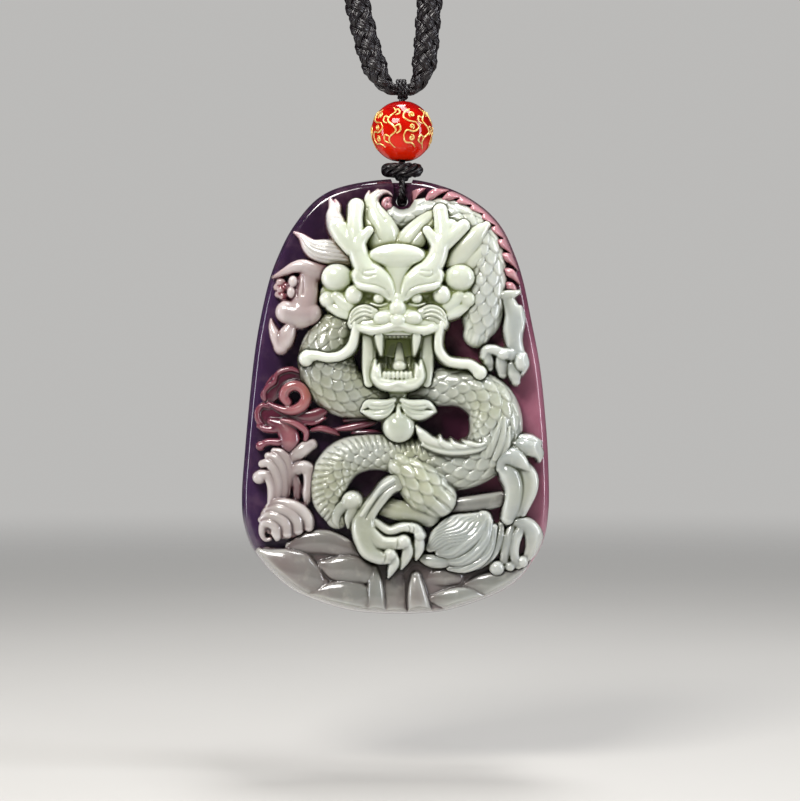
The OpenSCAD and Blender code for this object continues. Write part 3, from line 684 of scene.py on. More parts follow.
def carve_beard():
    beard = Relief()
    # On each side of the chin a lappet of two folds, curling outwards to a point
    beard.lay([[-1, 217, 70, 2.4], [-8, 213, 74, 4.6], [-18, 212, 74, 5.4], [-27, 213, 66, 4.4],
               [-32, 209, 58, 2], [-34, 206, 52, 0.8]],
              [[-1.5, 212, 66, 2], [-8, 205, 72, 4], [-17, 202.4, 72, 4.6], [-26, 204, 64, 3.6],
               [-34, 205.6, 52, 0.9]],
              [[7, 217, 70, 2.4], [14, 213, 74, 4.6], [24, 212, 74, 5.4], [32, 212.6, 66, 4.2],
               [38, 209, 58, 2], [40.4, 206, 52, 0.8]],
              [[7.5, 212, 66, 2], [14, 205, 72, 4], [23, 202, 72, 4.8], [32, 203.6, 64, 3.8],
               [40.4, 205.6, 52, 0.9]], round_up=0.85, blend=0.5)
    beard.cut([[-3, 214, 0, 0.8], [-12, 210.6, 0, 0.8], [-24, 211.6, 0, 0.8]],
              [[-3, 209, 0, 0.7], [-10, 203.4, 0, 0.7], [-22, 202.4, 0, 0.7]],
              [[9, 214, 0, 0.8], [18, 210.6, 0, 0.8], [30, 211.6, 0, 0.8]],
              [[9, 209, 0, 0.7], [16, 203.4, 0, 0.7], [28, 202.4, 0, 0.7]], depth=1.3)
    beard.knob([3.8, 190, 80, 15.6, 15.4], round_up=0.85)
    beard.lay([[3.6, 212, 62, 2], [3.6, 206, 70, 2.4], [3.7, 200, 76, 4]], blend=1.5)
    return beard


def carve_whiskers():
    whiskers = Relief()
    whiskers.lay([[-42, 300, 74, 2], [-39, 290, 80, 4], [-40, 280, 80, 4.3], [-44, 269, 79, 4.8],
                  [-54, 261, 78, 4.8], [-66, 259, 77, 4.8], [-78, 261, 74, 5], [-87, 260, 70, 7]],
                 [[49, 300, 74, 2], [45, 290, 80, 4], [43, 278, 80, 4], [44, 266, 79, 4.3],
                  [52, 256, 78, 4.3], [64, 253, 77, 4.6], [74, 252, 75, 4.8], [82, 246, 72, 6]],
                 blend=0.4)
    whiskers.knob([-88, 258, 71, 7.6, 7.8], [84, 244, 73, 7.2, 7.2])
    return whiskers


def carve_front_leg(legs):
    legs.lay([[10, 137, 60, 9], [-5, 132, 66, 8.6], [-17, 118, 66, 8], [-27, 105, 66, 9],
              [-31, 94, 68, 12], [-29, 80, 70, 12.4], [-24, 70, 70, 11]], blend=1, round_up=0.85)
    legs.lay([[-2, 138, 70, 2], [-14, 130, 73, 2.2], [-24, 116, 73, 2.2], [-33, 103, 70, 2]],
             blend=0.8)
    legs.cut([[0, 133, 0, 1], [-13, 124, 0, 1], [-24, 109, 0, 1], [-29, 100, 0, 1]], depth=1.8)
    # Digits, each ending in a knuckle, then their claws
    legs.lay([[-34, 80, 68, 7], [-27, 68, 72, 8.6], [-16, 61.5, 74, 7.4], [-7, 61, 76, 6.4]],
             [[-24, 86, 68, 6], [-14, 76, 74, 6.6], [-3, 75, 76, 6.2], [8, 75.6, 78, 6.6]],
             [[-20, 96, 58, 3.4], [-6, 87, 62, 4], [8, 90.6, 66, 4.4], [20, 89, 68, 5],
              [25.4, 82, 66, 4.6]], blend=0.8)
    legs.knob([-5, 64, 80, 6.4, 6], [8.4, 76.6, 81, 7, 6.4], [24.6, 82.4, 70, 5.4, 5])
    legs.lay([[-1, 63, 72, 3.6], [-0.6, 56, 70, 5.2], [-3.4, 48, 64, 3.8], [-6.4, 40.6, 54, 0.9]],
             [[12, 75, 74, 3.8], [12.4, 66, 70, 5.6], [9.6, 57, 64, 4], [6.4, 49, 54, 0.9]],
             [[24, 80, 64, 4.4], [24, 70, 62, 5], [22, 61, 56, 2.6], [21, 58, 50, 1]], blend=0.4)
    legs.cut([[-12, 68, 0, 0.9], [-9, 62, 0, 0.9], [-11, 55, 0, 0.9]],
             [[1, 82, 0, 0.9], [3.4, 76, 0, 0.9], [1.4, 69, 0, 0.9]],
             [[13, 93, 0, 0.8], [15, 89, 0, 0.8], [14, 85, 0, 0.8]],
             [[17, 93, 0, 0.8], [19, 89, 0, 0.8], [18, 84, 0, 0.8]], depth=1.4)


def carve_right_legs(legs):
    # The lower leg in two bands, a hooked claw over its knee, and the knot of stone behind
    legs.lay([[121, 150, 50, 10], [125, 136, 50, 13], [123, 120, 48, 12], [119, 107, 44, 9]],
             [[127, 152, 54, 6], [134, 141, 57, 8], [134, 128, 55, 8], [130, 114, 48, 6],
              [127, 104, 40, 4]], blend=1, round_up=0.7)
    legs.lay([[107, 150, 60, 7], [113, 144, 66, 10], [118, 132, 64, 9.4], [118, 120, 60, 8.4],
              [115, 108, 54, 8], [112.6, 99, 48, 7]], blend=0.8)
    legs.lay([[105, 149, 58, 5], [107, 157, 66, 8], [115, 161, 73, 9.4], [123, 157, 72, 8],
              [130, 151, 66, 4.4], [134.6, 146, 56, 0.9]],
             [[119, 172, 54, 7], [127, 171, 62, 9], [136, 169, 61, 8.4], [142.6, 163, 54, 6],
              [144, 156.6, 46, 1.6]],
             [[125, 179, 50, 4], [135, 178, 56, 4], [143, 174, 50, 3.4]], blend=0.6)
    # The upper leg, and its foot with three toes
    legs.lay([[112, 318, 48, 6.5], [118, 303, 52, 8.5], [118, 287, 54, 10], [119, 274, 52, 8.5],
              [122, 262, 54, 8]],
             [[124, 308, 46, 3.6], [126, 298, 48, 4], [125, 286, 48, 3]], blend=1)
    legs.lay([[101, 322, 46, 3], [110, 321, 50, 5.6], [118, 323, 46, 4.2], [124, 325, 38, 1.8]],
             [[88, 260, 50, 3], [91, 266.4, 56, 4.4], [98, 267, 58, 4.6], [106, 264, 58, 5],
              [116, 262, 58, 6]], blend=0.5)
    legs.knob([108, 262, 62, 6.6, 5], [125.6, 255, 66, 6.4, 9])
    legs.lay([[92, 262, 50, 4.4], [93.4, 255, 48, 5.2], [94.6, 249, 40, 3.6]],
             [[106, 260, 52, 5.6], [106.6, 251, 50, 6.4], [107.4, 243, 42, 4.6]],
             [[129, 262, 60, 2], [130, 252, 60, 3.2], [127, 243, 54, 1.2]],
             [[116, 252, 50, 4], [119, 243, 52, 6.4], [120.6, 235.6, 44, 4.4]], blend=0.5)


def carve_small_foot(legs):
    """The foot that shows in the lower left bend: a knuckle and two claws."""
    legs.lay([[-50, 113, 58, 6], [-57, 106, 56, 6], [-58.6, 97, 50, 4.6], [-56, 90, 40, 1.2]],
             [[-42, 108, 60, 6], [-46, 99, 56, 4.8], [-46.6, 90, 44, 1.2]], blend=0.5)
    legs.knob([-43, 116, 66, 11, 10])


def carve_legs():
    legs = Relief()
    carve_front_leg(legs)
    carve_right_legs(legs)
    carve_small_foot(legs)
    return legs


def carve_left_paw():
    paw = Relief()
    paw.lay([[-72, 344, 46, 8.5], [-82, 346, 50, 9], [-92, 350, 50, 7.4], [-101, 349, 47, 5.6],
             [-109, 345.4, 42, 4], [-117, 341.8, 34, 2.4], [-122, 340, 28, 1]],
            [[-84, 344, 46, 10], [-88, 332, 50, 11.6], [-89, 318, 54, 12.4], [-94, 306, 54, 14]],
            blend=1.5)
    paw.lay([[-108, 304.6, 56, 11.5], [-97, 302, 58, 14], [-85, 303, 54, 12]], blend=1.5)
    paw.knob([-101.6, 335, 52, 4.6, 5.6], [-103.4, 324.4, 50, 4.2, 5.8], round_up=0.9)
    paw.cut([[-96, 341, 0, 1], [-95.6, 333, 0, 1], [-97, 326, 0, 1], [-97, 319, 0, 1]],
            [[-92, 340, 0, 0.9], [-90.6, 330, 0, 0.9], [-91.6, 322, 0, 0.9]], depth=1.6)
    # A bunch of small grains beside the fingers
    paw.knob([-114, 334.6, 31, 5, 4.4], [-108.6, 330.4, 30, 3.6, 4], [-113.6, 327.2, 31, 4.6, 4],
             [-118.6, 330, 27, 3, 3.6], [-112, 320.6, 30, 4.6, 3.8], [-117, 322.6, 27, 3.4, 3.4],
             [-110, 316, 27, 3, 2.6])
    # The hanging claw
    paw.lay([[-103, 292, 46, 5], [-107, 284, 50, 8], [-111, 276, 50, 9], [-114, 270, 46, 7.4]],
            [[-124, 297.6, 32, 0.9], [-122.6, 290, 40, 3.6], [-119, 281, 46, 6],
             [-115, 273, 46, 7]], blend=0.6)
    return paw


# ---------------------------------------------------------------- carving: what is round it

def carve_flames():
    flames = Relief()
    # The wing of flame at the left edge
    flames.lay([[-48, 362, 52, 12], [-64, 364, 55, 13], [-76, 366, 51, 12], [-85, 370.6, 42, 8.6],
                [-93, 379.6, 31, 3.8], [-101, 385, 21, 0.9]], detail=flutes, count=6, depth=1.8)
    # The flame that the left horn's outer side runs out to
    flames.lay([[-48, 374, 62, 9], [-57, 388, 67, 9.4], [-61, 400, 58, 7.6], [-62, 409, 42, 4.6],
                [-65, 418, 28, 1.4]],
               [[-58, 404, 46, 3.6], [-57, 411, 36, 2.4], [-59.6, 417, 26, 1]], blend=0.8)
    return flames


def carve_mane():
    mane = Relief()
    # Locks between the horns
    mane.lay([[-8, 364, 60, 17], [-12, 380, 64, 18], [-16, 391, 60, 16.4],
              [-20.6, 402, 53, 12.4], [-22.6, 410, 46, 9], [-22, 417, 36, 6.6],
              [-18, 422.4, 26, 4.4], [-12, 425.4, 18, 2.8], [-6, 424.4, 13, 1.8],
              [-2, 421, 9, 0.8]])
    mane.lay([[-26, 412, 42, 4.4], [-27.6, 419, 30, 3], [-26, 426, 16, 1.2]],
             [[-22, 416, 38, 4], [-20.6, 423, 24, 2.6], [-17, 428, 13, 1]], blend=0.5)
    mane.lay([[8, 362, 62, 12], [15, 375, 66, 13.4], [25, 386, 64, 12.6], [35, 396, 58, 10.6],
              [44, 404, 50, 6]])
    mane.cut([[-27, 408, 0, 1.4], [-27, 398, 0, 1.6], [-21, 388, 0, 1.6], [-15, 376, 0, 1.4]],
             [[-8, 423.6, 0, 0.8], [-17, 418, 0, 0.9], [-17, 408, 0, 1.2], [-10, 396, 0, 1.4]],
             [[14, 370, 0, 1.4], [24, 383, 0, 1.6], [33, 392, 0, 1.4], [40, 400, 0, 1.2]],
             depth=1.6)
    # The lock outside the right horn, and the lower one behind it
    mane.lay([[60, 354, 62, 11], [71, 369, 67, 11.6], [82, 382, 65, 9.6], [91, 391, 54, 4]])
    mane.lay([[66, 347, 54, 9], [78, 356, 60, 8.6], [87, 367, 58, 6], [92, 377, 52, 2]], blend=1.2)
    return mane


def carve_spines():
    # Root and tip of each spine of the back, as [x, z]
    rows = [
        [[13, 412], [30, 428.4]], [[32, 415], [53, 427]], [[49, 416], [70, 420.6]],
        [[61, 412], [86, 411]], [[73, 405.6], [98, 400.6]], [[83, 397], [107, 389.4]],
        [[92, 386], [115.6, 375]], [[99, 374], [119, 362]], [[103.6, 361], [123, 347.6]],
        [[107, 346], [124.6, 332.6]], [[108.6, 332], [123, 321]],
    ]
    spines = Relief()
    for (x0, z0), (x1, z1) in rows:
        def at(along, aside=0.0):
            """A place on the spine: shares of its length from its root, and to its side."""
            dx, dz = x1 - x0, z1 - z0
            return x0 + along * dx - aside * dz, z0 + along * dz + aside * dx

        spines.lay([[x0, z0, 36, 3.4], [*at(0.35, 0.14), 44, 4.6], [*at(0.7, 0.1), 38, 2.8],
                    [x1, z1, 28, 0.8]], blend=0.25, wall=20)
        spines.cut([[*at(0.1), 0, 0.8], [*at(0.6), 0, 0.7]], depth=1.4)
    # A small curl beside the thread's hole, under the lock's tip
    spines.lay([[-3.4, 404.6, 30, 2.4], [-8.6, 405.4, 31, 2.8], [-11.4, 411, 32, 2.6],
                [-9.4, 416.8, 31, 2.6], [-4.4, 417.4, 30, 2.2]], blend=0.3)
    spines.knob([-6, 411, 31, 3.2, 3.6], blend=0.3)
    return spines


def carve_clouds():
    clouds = Relief()
    # Dished floors of the scrolls
    clouds.lay([[-126, 222, 16, 9], [-114, 234, 18, 12], [-99, 238, 18, 10]],
               [[-132, 203, 16, 7], [-121, 200, 20, 12], [-106, 200, 20, 9]], round_up=0.2, blend=1)
    # Raised rims
    clouds.lay([[-130, 217, 20, 1.6], [-130.6, 225, 23, 2.2], [-126, 231, 25, 2.4],
                [-120.6, 235, 26, 2.4], [-119, 241.6, 26, 2.4], [-113.4, 246, 26, 2.6],
                [-104, 248, 26, 2.6], [-95, 245, 24, 2]],
               [[-131, 190.4, 20, 2.4], [-136.6, 196, 23, 3], [-138, 205, 24, 2.8],
                [-133, 211.6, 24, 2.6], [-126, 210, 22, 2.2]],
               [[-137, 191, 22, 2], [-130, 188, 25, 3.4], [-120, 187.6, 27, 4], [-112, 189, 26, 3]],
               blend=0.5)
    # The spiral: a broad band that curls in from below
    clouds.lay([[-127, 214, 22, 1.4], [-119, 210, 28, 2.8], [-110, 207, 34, 4],
                [-100.6, 207, 40, 5], [-92, 212, 42, 5.6], [-88.6, 220, 43, 5.6],
                [-92, 228, 42, 5.4], [-100, 231.4, 41, 5.2], [-108, 228, 40, 5.2],
                [-111, 220.6, 38, 5.2], [-107.4, 214.6, 36, 4.6]], blend=0.3)
    clouds.cut([[-104, 210, 0, 0.8], [-95, 213, 0, 0.8], [-91.6, 220, 0, 0.8], [-95, 226.6, 0, 0.8],
                [-102, 228.6, 0, 0.8], [-107.6, 224, 0, 0.8], [-108, 217, 0, 0.8]], depth=0.9)
    # The lobe below it, and the stem with its ridge
    clouds.lay([[-110, 204, 20, 2], [-98, 201, 26, 5.6], [-84, 201, 28, 7], [-73, 205, 26, 5],
                [-67, 209, 22, 1.6]],
               [[-108, 199, 24, 2], [-94, 194.6, 27, 2.4], [-80, 194, 27, 2], [-70, 199, 24, 1.4]],
               round_up=0.7, blend=0.5)
    clouds.lay([[-124, 195, 26, 4], [-113, 190, 31, 8.4], [-106, 181, 36, 10.6],
                [-106, 172, 35, 9.4], [-110, 164, 26, 6]], round_up=0.8, blend=1)
    clouds.lay([[-113, 197, 32, 1.6], [-104, 195, 36, 2.6], [-95.6, 191, 37, 3.2],
                [-89, 185, 34, 3.2], [-89.6, 177, 30, 2.4]], blend=0.5)
    # The branch to the left, with its round end
    clouds.lay([[-134, 171.6, 26, 3.8], [-127, 175, 28, 3.4], [-116, 174.6, 30, 4]], blend=0.5)
    clouds.knob([-135, 171, 27, 4.6, 4.8])
    # Slips of cloud to the right, behind the body
    clouds.lay([[-83, 187, 24, 2], [-74, 188.6, 32, 3], [-64, 186, 30, 3], [-56, 182, 20, 1.4]],
               [[-62, 187, 18, 1.4], [-42, 190, 24, 4], [-24, 194, 22, 3], [-16, 197, 14, 1]],
               [[-42, 184, 18, 2], [-24, 184, 22, 4], [-8, 182, 18, 3]],
               [[-50, 197, 14, 3], [-34, 199, 16, 4], [-18, 200, 12, 3]], blend=0.5)
    return clouds


def carve_left_waves():
    waves = Relief()
    # The forked branch between the clouds and the dragon
    waves.lay([[-103, 158.6, 32, 5.4], [-98, 163, 37, 6.8], [-90, 169, 37, 7],
               [-83, 172.6, 30, 5.4]],
              [[-105, 140, 28, 4.6], [-101, 146.6, 34, 6], [-93, 150, 38, 7],
               [-86, 146, 39, 7], [-84.6, 134, 38, 6.8], [-87, 122, 34, 5.8],
               [-89, 113, 24, 2]],
              [[-101, 142, 26, 4], [-98, 130, 22, 5], [-98, 120, 18, 4]],
              [[-77, 122, 28, 4], [-73, 108, 32, 6], [-68, 99, 30, 5.6], [-64, 93, 22, 2.6]],
              blend=0.6)
    # The curling wave: strands that rise and turn over to the left
    waves.lay([[-118, 112, 22, 10], [-116, 130, 26, 12], [-118, 146, 28, 10]], round_up=0.3)
    waves.lay([[-109, 122, 22, 3.4], [-106, 140, 30, 4.6], [-106.6, 154, 35, 5.4],
               [-113, 163.6, 35, 5], [-121, 166, 30, 3.4]],
              [[-112, 114, 26, 4.4], [-110.6, 136, 33, 5.2], [-113, 150, 38, 5.4],
               [-119, 158.6, 38, 5], [-127, 161, 32, 3.8]],
              [[-118, 114, 28, 4.4], [-116.6, 133, 36, 5.2], [-119.6, 146, 39, 5.4],
               [-126, 153.6, 38, 5], [-133, 153, 32, 4]],
              [[-124, 114, 30, 4], [-123, 130, 35, 5], [-127, 141, 37, 5.4],
               [-134, 142, 36, 5.6]], blend=0.3, wall=14)
    waves.knob([-136, 139.6, 36, 6.6, 6.6])
    # The coiled shell: a dome with ribs that bend over it and end side by side in front
    waves.knob([-110, 98, 32, 25, 20], round_up=0.3)
    waves.lay([[-86, 90, 36, 5], [-87, 99, 42, 5.8], [-94, 107.4, 44, 5.8],
               [-106, 113, 42, 5.4], [-118, 114.6, 36, 4.4], [-127, 111, 28, 2.6]],
              [[-96.6, 87, 38, 5.2], [-98, 97, 44, 5.8], [-105, 104.6, 44, 5.8],
               [-117, 108.6, 41, 5], [-129, 106, 30, 3.4]],
              [[-107.6, 84, 38, 5.2], [-109, 93.6, 44, 5.8], [-116, 99.6, 43, 5.6],
               [-126, 101.6, 38, 4.8], [-134, 97, 28, 3.4]],
              [[-119, 81, 38, 5.4], [-119, 89.6, 42, 5.6], [-125, 94, 41, 5], [-131.4, 92, 36, 4.4],
               [-133, 84, 30, 3.4], [-130, 77.6, 26, 2.4], [-125, 78, 26, 2]], blend=0.4, wall=14)
    return waves


def carve_right_waves():
    waves = Relief()
    waves.lay([[106, 92, 34, 3.6], [104, 78, 42, 4.6], [97, 63, 42, 4.8], [85, 53, 38, 4.4],
               [70, 47, 32, 3.6], [57, 45, 24, 2]],
              [[117, 92, 36, 3.6], [113, 79, 43, 4.8], [110, 66, 42, 4.8], [109, 57, 36, 4.4]],
              [[127, 92, 40, 4.4], [121.6, 80, 45, 5], [119, 69, 44, 5],
               [119.6, 59, 40, 4.8], [123, 52, 36, 4.4]],
              [[122, 95, 42, 5], [132, 92, 44, 8], [138.6, 82, 44, 9.4], [138, 71, 38, 8.4],
               [133, 61, 30, 5]], blend=0.4, wall=14)
    waves.knob([101.7, 49, 45, 7.8, 7.6], [114.7, 50.8, 40, 5.2, 5], [127, 55.4, 40, 6, 6])
    waves.lay([[25, 61, 34, 4], [34, 57, 41, 6.4], [44, 55.6, 43, 6.8], [54, 57, 41, 6],
               [60, 60, 34, 3.4]], blend=0.4)
    return waves


def carve_tail():
    tail = Relief()
    # The tuft: many fine strands that sweep up to the right, over longer ones below
    tail.lay([[35, 70, 38, 5], [44, 75, 47, 14], [58, 81, 55, 20], [73, 88, 55, 18],
              [88, 98, 48, 9]], round_up=0.55, detail=flutes, count=10, depth=1.7, sway=0.7)
    tail.lay([[44, 64, 42, 4], [56, 65, 52, 6.4], [69, 72, 58, 7.6], [80, 83, 58, 7],
              [90, 98, 48, 4]],
             [[52, 56, 42, 3.4], [66, 57, 52, 5.6], [79, 64, 57, 6.6], [88, 77, 55, 6.4],
              [94, 96, 47, 4]],
             [[54, 49, 36, 3], [69, 49.4, 46, 5], [84, 56, 51, 5.6], [94, 69, 50, 5.4],
              [99, 90, 45, 3.6]], detail=flutes, count=3, depth=1.3, sway=0.3, blend=0.4)
    return tail


def carve_foot():
    foot = Relief()
    # The low bar behind the tail and the right leg
    foot.lay([[56, 111, 32, 7.4], [76, 113, 36, 8], [96, 116, 36, 8], [110, 119, 32, 7]],
             round_up=0.6, blend=0.6)
    # Low ground under the petals, so that no skin shows between them
    foot.lay([[-128, 62, 18, 8], [-96, 46, 22, 24], [-60, 40, 22, 34], [-20, 34, 22, 34],
              [30, 34, 22, 30], [70, 34, 20, 26], [104, 40, 18, 18], [130, 56, 14, 6]],
             round_up=0.15, blend=1)
    # Petals at the back, then those in front: broad, smooth, with a crisp upper edge
    foot.lay([[-104, 70, 24, 6], [-88, 74, 31, 11], [-70, 75, 33, 12], [-52, 70, 31, 10],
              [-38, 64, 24, 5]],
             [[32, 38, 22, 6], [46, 40, 30, 9], [60, 40, 27, 8]], round_up=0.55, blend=0.4)
    foot.lay([[-72, 52, 30, 5], [-60, 49, 38, 12], [-44, 48, 40, 14], [-30, 44, 36, 11]],
             [[72, 32, 26, 3], [86, 33, 35, 10], [104, 34, 38, 13], [118, 40, 33, 9],
              [128, 48, 26, 4]], round_up=0.55, blend=0.4)
    foot.lay([[-136, 66, 30, 3], [-126, 58, 38, 12], [-112, 50, 44, 20], [-96, 42, 45, 23],
              [-80, 36, 38, 14], [-72, 33, 30, 6]],
             [[-88, 22, 28, 4], [-74, 20, 37, 12], [-54, 20, 43, 17], [-36, 18, 43, 16],
              [-26, 15, 35, 11]],
             [[38, 18, 28, 4], [50, 18, 37, 9], [64, 18, 42, 12], [78, 17, 39, 11],
              [90, 16, 30, 5]], round_up=0.5, blend=0.3)
    # The three upright stems
    foot.lay([[0, 44, 26, 10], [0, 24, 34, 12], [0, 4, 32, 12]], round_up=0.6, blend=0.3)
    foot.lay([[-21, 48, 32, 4], [-20, 36, 40, 7], [-19, 20, 44, 8.6], [-18, 2, 38, 9]],
             [[20.8, 41, 36, 4.6], [21.4, 30, 44, 8], [23, 16, 47, 10.4], [26, 0, 40, 12]],
             round_up=0.8, blend=0.3)
    return foot


def softened(heights, width):
    """Heights with their edges worn by a small blur, width in grid steps."""
    reach = int(3 * width / CELL) + 1
    weights = np.exp(-0.5 * (np.arange(-reach, reach + 1) * CELL / width) ** 2)
    weights /= weights.sum()
    rows = np.pad(heights, reach, mode="edge")
    rows = sum(w * rows[:, i:i + heights.shape[1]] for i, w in enumerate(weights))
    return sum(w * rows[i:i + heights.shape[0]] for i, w in enumerate(weights))


# ---------------------------------------------------------------- making the carved pieces

# In steps: how far the carving rises from the slab's edge inwards, the bare strip along edge and
# groove, the wear on all edges, and the hidden stone that is kept under whatever covers it
EDGE_RISE, BARE_STRIP, WEAR, UNDER = 8.0, 0.6, 0.45, 2.0
# How deep the foot of each carved piece is sunk in the slab
ROOT_Y = FACE_Y + 2.0


def inside_edge(line, far=60.0):
    """How far inside the plaque's edge each cell lies, up to far, and negative outside."""
    gx, gz = np.meshgrid(XS, ZS)
    inside = np.zeros(gx.shape, bool)
    away = np.full(gx.shape, far)
    for (x0, z0), (x1, z1) in zip(line, np.roll(line, -1, axis=0)):
        rows = (ZS >= min(z0, z1)) & (ZS < max(z0, z1))
        if rows.any():
            cross = x0 + (ZS[rows] - z0) * (x1 - x0) / (z1 - z0)
            inside[rows] ^= gx[rows] < cross[:, None]
        part = window(x0 - far, x0 + far, z0 - far, z0 + far)
        away[part] = np.minimum(away[part], np.hypot(gx[part] - x0, gz[part] - z0))
    return np.where(inside, away, -away)


def beside_groove():
    """How far each cell lies from the thread's groove, in grid steps."""
    gx, gz = np.meshgrid(XS, ZS)
    hole = GRID_H - HOLE_DROP / STEP_Z
    flaring = FLARE_H / STEP_Z
    flare = np.clip((gz - GRID_H + flaring) / flaring, 0, 2)
    half = GROOVE_HALF / STEP_X * (1 + GROOVE_FLARE * flare)
    return np.hypot(gx - HOLE_X, np.maximum(hole - gz, 0)) - half


def slab_height(inset):
    """Height of the slab's front over the face at this distance from its edge, in steps."""
    rim, fall, curve = RIM_W / STEP_X, 1.3, 2.7
    return -fall * rim * np.clip(1 - inset / rim, 0, 1) ** curve


def patches(mask):
    """A number for each separate patch of a mask."""
    number = np.zeros(mask.shape, int)
    parent = [0]

    def root(n):
        while parent[n] != n:
            n = parent[n]
        return n

    for row, cells in enumerate(mask):
        ends = np.flatnonzero(np.diff(np.concatenate([[0], cells.astype(int), [0]])))
        for start, stop in ends.reshape(-1, 2):
            number[row, start:stop] = len(parent)
            parent.append(len(parent))
            for other in set(number[row - 1, start:stop].tolist()) - {0} if row else ():
                parent[root(other)] = root(len(parent) - 1)
    return np.array([root(n) for n in range(len(parent))])[number]


def clean_cells(keep):
    """The grid's squares whose corners are all kept, without specks and corner-only joins."""
    most_rounds, speck = 20, 90
    squares = keep[:-1, :-1] & keep[:-1, 1:] & keep[1:, :-1] & keep[1:, 1:]
    for _ in range(most_rounds):
        a, b, c, d = squares[:-1, :-1], squares[:-1, 1:], squares[1:, :-1], squares[1:, 1:]
        slant = (a & d & ~b & ~c) | (b & c & ~a & ~d)
        if not slant.any():
            break
        squares[:-1, :-1][slant] = False
        squares[:-1, 1:][slant] = False
    number = patches(squares)
    return squares & (np.bincount(number.ravel())[number] > speck)


def new_object(name, points, faces, material, smooth=True, **values):
    """An object from points in millimetres, with values stored on its points."""
    mesh = bpy.data.meshes.new(name)
    faces = [np.asarray(f) for f in faces if len(f)]
    sizes = np.concatenate([np.full(len(f), f.shape[1]) for f in faces])
    corners = np.concatenate([f.ravel() for f in faces])
    mesh.vertices.add(len(points))
    mesh.vertices.foreach_set("co", (np.asarray(points) * MM).ravel())
    mesh.loops.add(len(corners))
    mesh.loops.foreach_set("vertex_index", corners)
    mesh.polygons.add(len(sizes))
    mesh.polygons.foreach_set("loop_start", np.concatenate([[0], np.cumsum(sizes)[:-1]]))
    mesh.polygons.foreach_set("use_smooth", np.full(len(sizes), smooth))
    for key, data in values.items():
        mesh.attributes.new(key, "FLOAT", "POINT").data.foreach_set("value", data)
    mesh.update(calc_edges=True)
    mesh.validate()
    mesh.materials.append(material)
    obj = bpy.data.objects.new(name, mesh)
    bpy.context.scene.collection.objects.link(obj)
    return obj


def fasten(obj, body, slot, *nodes):
    """Makes a piece ride on a body and stand for nodes, whose parts it hides. slot is not used."""
    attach(obj, body)
    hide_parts(*nodes)


@contextmanager
def edited(obj):
    """An object's mesh, opened for edits and put back after them."""
    bm = bmesh.new()
    bm.from_mesh(obj.data)
    yield bm
    bm.to_mesh(obj.data)
    bm.free()


def close_foot(obj):
    """Closes the open foot of a carved piece with flat faces."""
    with edited(obj) as bm:
        edges = [e for e in bm.edges if e.is_boundary]
        made = bmesh.ops.triangle_fill(bm, use_beauty=False, edges=edges, normal=(0, 1, 0))
        for face in made["geom"]:
            if isinstance(face, bmesh.types.BMFace) and face.normal.y < 0:
                face.normal_flip()


def cell_mesh(squares):
    """The mesh over some of the grid's squares, with a wall down round them: the cells of its
    corners on top, those at the wall's foot, and its faces."""
    wide = len(XS)
    j, i = np.nonzero(squares)
    corner = j * wide + i
    quads = np.stack([corner, corner + 1, corner + wide + 1, corner + wide], axis=1)
    ring = np.pad(squares, 1)
    missing = [~ring[j, i + 1], ~ring[j + 1, i + 2], ~ring[j + 2, i + 1], ~ring[j + 1, i]]
    rim = np.concatenate([quads[m][:, [k, (k + 1) % 4]] for k, m in enumerate(missing)])
    top, index = np.unique(quads, return_inverse=True)
    low, low_index = np.unique(rim, return_inverse=True)
    rim_top = np.searchsorted(top, rim)
    rim_low = low_index.reshape(rim.shape) + len(top)
    sides = np.stack([rim_top[:, 1], rim_top[:, 0], rim_low[:, 0], rim_low[:, 1]], axis=1)
    return top, low, [index.reshape(-1, 4), sides]


def carved_piece(name, heights, bound, material, **values):
    """One part of the carving as a closed mesh: its front from heights, and a flat foot inside
    the slab."""
    top, low, faces = cell_mesh(clean_cells(heights > bound))
    every = np.concatenate([top, low])
    x = XS[every % len(XS)] * STEP_X + AXIS_X
    y = FACE_Y - heights.ravel()[every] * STEP_X
    z = ZS[every // len(XS)] * STEP_Z + FOOT_Z
    y[len(top):] = ROOT_Y
    values = {key: value.ravel()[every] for key, value in values.items()}
    piece = new_object(name, np.stack([x, y, z], axis=1), faces, material, **values)
    close_foot(piece)
    fasten(piece, "plaque", "jade", "jade_plaque")


# Each piece of the carving: the reliefs in it, and its finish
CARVED = {
    "dragon_neck": ([carve_neck], "jade_neck"),
    "dragon_body": ([carve_body, carve_fins], "jade_body"),
    "dragon_head": ([carve_head, carve_whiskers], "jade_head"),
    "dragon_jaws": ([carve_cheeks, carve_jaws, carve_beard], "jade_jaws"),
    "dragon_legs": ([carve_legs], "jade_limbs"),
    "dragon_left_paw": ([carve_left_paw], "jade_paw"),
    "dragon_tail": ([carve_tail], "jade_limbs"),
    "flames": ([carve_flames], "jade_flames"),
    "mane": ([carve_mane], "jade_mane"),
    "back_spines": ([carve_spines], "jade_spines"),
    "clouds": ([carve_clouds], "jade_scrolls"),
    "left_waves": ([carve_left_waves], "jade_foam"),
    "right_waves": ([carve_right_waves], "jade_limbs"),
    "foot_petals": ([carve_foot], "jade_foot"),
}


def standing_out(heights, width):
    """How far each cell stands above what lies round it, within about this width."""
    return heights - softened(heights, width)


